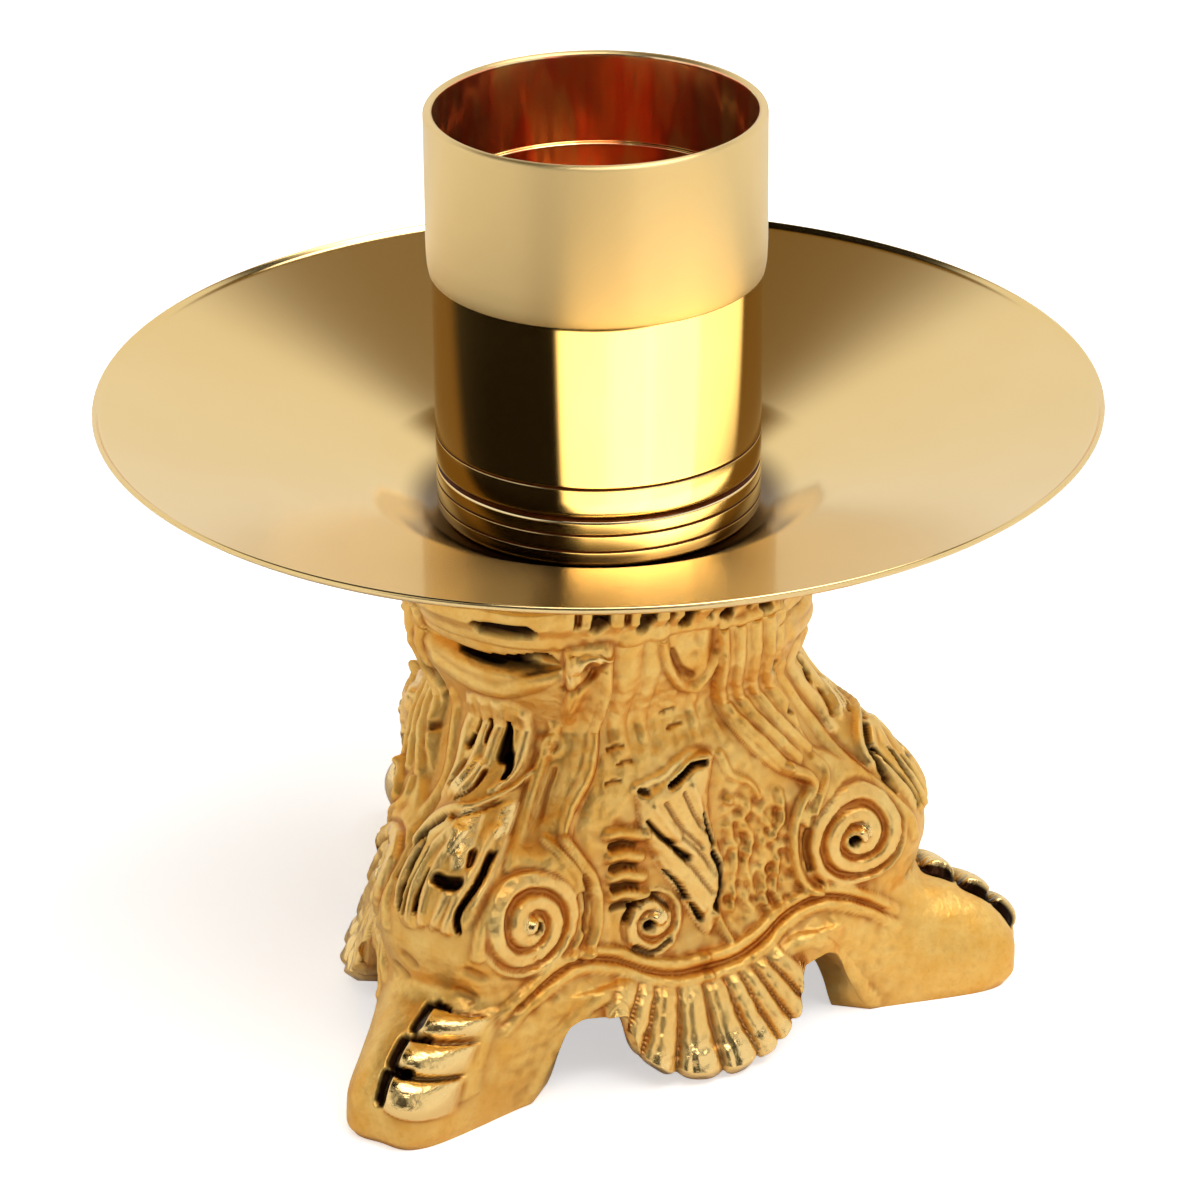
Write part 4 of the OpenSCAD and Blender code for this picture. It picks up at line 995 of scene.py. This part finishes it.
def build_sleeve(material, inside):
    """The loose ring: its skirt slips over the cup's mouth, and its lower edge is drawn in a little."""
    z = PAN_Z + CUP_H - SLEEVE_SKIRT
    skirt_r, top = CUP_R + SLIP_GAP, z + SLEEVE_H
    profile = ([(skirt_r, z)] + [(SLEEVE_R + out, z + up) for out, up in DRAWN_EDGE]
               + [(SLEEVE_R, top), (SLEEVE_BORE_R, top), (SLEEVE_BORE_R, z + SLEEVE_SKIRT),
                  (skirt_r, z + SLEEVE_SKIRT)])
    bm = turned(profile, {1: 0.3, 2: 0.5, 3: 0.8, 4: 0.55, 5: 0.55})
    ring = piece("cup_sleeve_satin", bm, material, "cup_sleeve", "sleeve")
    line_bore(ring, inside, SLEEVE_BORE_R + 0.1, z)


# Stage, lights and camera

def direction(azimuth, elevation):
    """A unit step this way, in degrees."""
    a, e = math.radians(azimuth), math.radians(elevation)
    return Vector((math.cos(a) * math.cos(e), math.sin(a) * math.cos(e), math.sin(e)))


def build_camera():
    """The camera of the photograph."""
    data = bpy.data.cameras.new("photo_camera")
    data.sensor_width = SENSOR
    data.lens = LENS
    camera = linked("photo_camera", data)
    place = Vector((0, 0, TARGET_Z * MM)) + direction(CAMERA_AZIMUTH, CAMERA_PITCH) * CAMERA_DISTANCE * MM
    camera.matrix_world = (Matrix.Translation(place)
                           @ Matrix.Rotation(math.radians(CAMERA_AZIMUTH + 90), 4, "Z")
                           @ Matrix.Rotation(math.radians(90 - CAMERA_PITCH), 4, "X")
                           @ Matrix.Rotation(math.radians(CAMERA_ROLL), 4, "Z"))
    bpy.context.scene.camera = camera


def build_floor():
    """A plain pale floor, which the camera sees as white outside the object's shadow."""
    bm = bmesh.new()
    bmesh.ops.create_circle(bm, cap_ends=True, segments=64, radius=FLOOR_R * MM)
    mesh = bpy.data.meshes.new("floor")
    bm.to_mesh(mesh)
    bm.free()
    material, tree = new_material("white_floor")
    path = add(tree, "ShaderNodeLightPath")
    seen = add(tree, "ShaderNodeMath", {0: path.outputs["Is Camera Ray"], 1: FLOOR_GLOW},
               operation="MULTIPLY")
    shaded(material, {"Base Color": linear("#F4F4F4"), "Roughness": 0.9, "Emission Color": WHITE,
                      "Emission Strength": seen.outputs[0]})
    mesh.materials.append(material)
    linked("floor", mesh)


def build_world():
    """A studio seen from inside: white walls, a dark ceiling that is brown behind the object, a broad
    soft source on the right, and the dark side of the room, where the camera stands."""
    world = bpy.data.worlds.new("studio")
    bpy.context.scene.world = world
    world.use_nodes = True
    tree = world.node_tree
    tree.nodes.clear()
    way = add(tree, "ShaderNodeTexCoord").outputs["Generated"]
    # The sine of a direction's height, and how far it points to each of four sides, in degrees to the
    # right of the camera: the front, the dark side, the source, and the end of the bar that crosses it
    height = add(tree, "ShaderNodeSeparateXYZ", {"Vector": way}).outputs["Z"]
    front, dark, source, bar = [
        add(tree, "ShaderNodeVectorMath", {0: way, 1: direction(CAMERA_AZIMUTH + turn, 0)},
            operation="DOT_PRODUCT").outputs["Value"] for turn in (0, -10, 51, 132)]
    bar = add(tree, "ShaderNodeMath", {0: bar}, operation="ABSOLUTE").outputs[0]

    # Each soft edge: what it follows, where it starts and ends, and the levels before and after it.
    # The walls are white higher up behind the object than in front of it.
    edge = {}
    for name, value, start_at, end_at, before, after in (
            ("walls_end", front, -0.45, 0.1, 0.74, 0.66),
            ("walls_full", front, -0.45, 0.1, 0.60, 0.50),
            ("dark_side", dark, 0.74, 0.86, 1.0, 0.06),
            ("source_side", source, 0.05, 0.09, 0.0, SOURCE_LEVEL),
            ("source_bar", bar, 0.02, 0.06, 1.15, 1.0),
            ("source_foot", height, 0.77, 0.82, 0.0, 1.0),
            ("source_top", height, 0.985, 0.955, 0.0, 1.0),
            ("brown_behind", front, -0.31, -0.47, 0.02, 1.0),
            ("brown_foot", height, 0.60, 0.76, 0.0, 1.0)):
        edge[name] = add(tree, "ShaderNodeMapRange", {"Value": value, "From Min": start_at,
                                                      "From Max": end_at, "To Min": before,
                                                      "To Max": after},
                         interpolation_type="SMOOTHSTEP").outputs["Result"]
    walls = add(tree, "ShaderNodeMapRange", {"Value": height, "From Min": edge["walls_end"],
                                             "From Max": edge["walls_full"], "To Max": WALL_LEVEL},
                interpolation_type="SMOOTHSTEP").outputs["Result"]

    # The walls, the soft source and the brown ceiling are lit where all of their edges let them
    levels = []
    for level, *others in ((walls, edge["dark_side"]),
                           (edge["source_side"], edge["source_bar"], edge["source_foot"],
                            edge["source_top"]),
                           (edge["brown_behind"], edge["brown_foot"])):
        for other in others:
            level = add(tree, "ShaderNodeMath", {0: level, 1: other}, operation="MULTIPLY").outputs[0]
        levels.append(level)
    white = add(tree, "ShaderNodeMath", {0: levels[0], 1: levels[1]}, operation="ADD").outputs[0]
    lit, brown, plain = [add(tree, "ShaderNodeBackground", {"Strength": level, "Color": colour}).outputs[0]
                         for level, colour in ((white, WHITE), (levels[2], CEILING_BROWN), (1.0, WHITE))]
    studio = add(tree, "ShaderNodeAddShader", {0: lit, 1: brown}).outputs[0]
    path = add(tree, "ShaderNodeLightPath")
    seen = add(tree, "ShaderNodeMixShader", {0: path.outputs["Is Camera Ray"], 1: studio, 2: plain})
    add(tree, "ShaderNodeOutputWorld", {"Surface": seen.outputs[0]})


def add_softbox(name, azimuth, elevation, distance, size, power):
    """A flat lamp that looks at the object from this side and height, in degrees."""
    data = bpy.data.lights.new(name, "AREA")
    data.shape = "RECTANGLE"
    data.size, data.size_y = [side * MM for side in size]
    data.energy = power
    light = linked(name, data)
    away = direction(azimuth, elevation)
    light.location = Vector((0, 0, MIDDLE_Z * MM)) + away * distance * MM
    light.rotation_euler = away.to_track_quat("Z", "Y").to_euler()


build_camera()
build_floor()
build_world()
add_softbox("key_softbox", CAMERA_AZIMUTH + 46, 63, 1200, (900, 700), 2.4)

inside = deep_gold()
build_base(cast_gold())
build_pan(satin_gold("satin_gilt_pan", "#EFCC88", "#F5D798", 0.15, 0.9, PAN_FLAT_R))
build_cup(polished_gold(), inside, dark_groove_finish())
build_sleeve(satin_gold("satin_gilt_ring", "#F2D18E", "#F6DA9C", 0.42, 0.8), inside)

steel = plain_metal("zinc_plated_steel", "#A9ABAC", "#C2C4C4", 0.35)
brass = plain_metal("turned_brass", "#C79A4B", "#D9B060", 0.28)
for node, material in (("pan_seat", brass), ("cup_bush", brass), ("threaded_rod", steel),
                       ("flat_washer", steel), ("lock_washer", steel), ("base_nut", steel),
                       ("cup_washer", leather())):
    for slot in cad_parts[node].material_slots:
        slot.material = material

bpy.context.scene.view_settings.view_transform = "Standard"
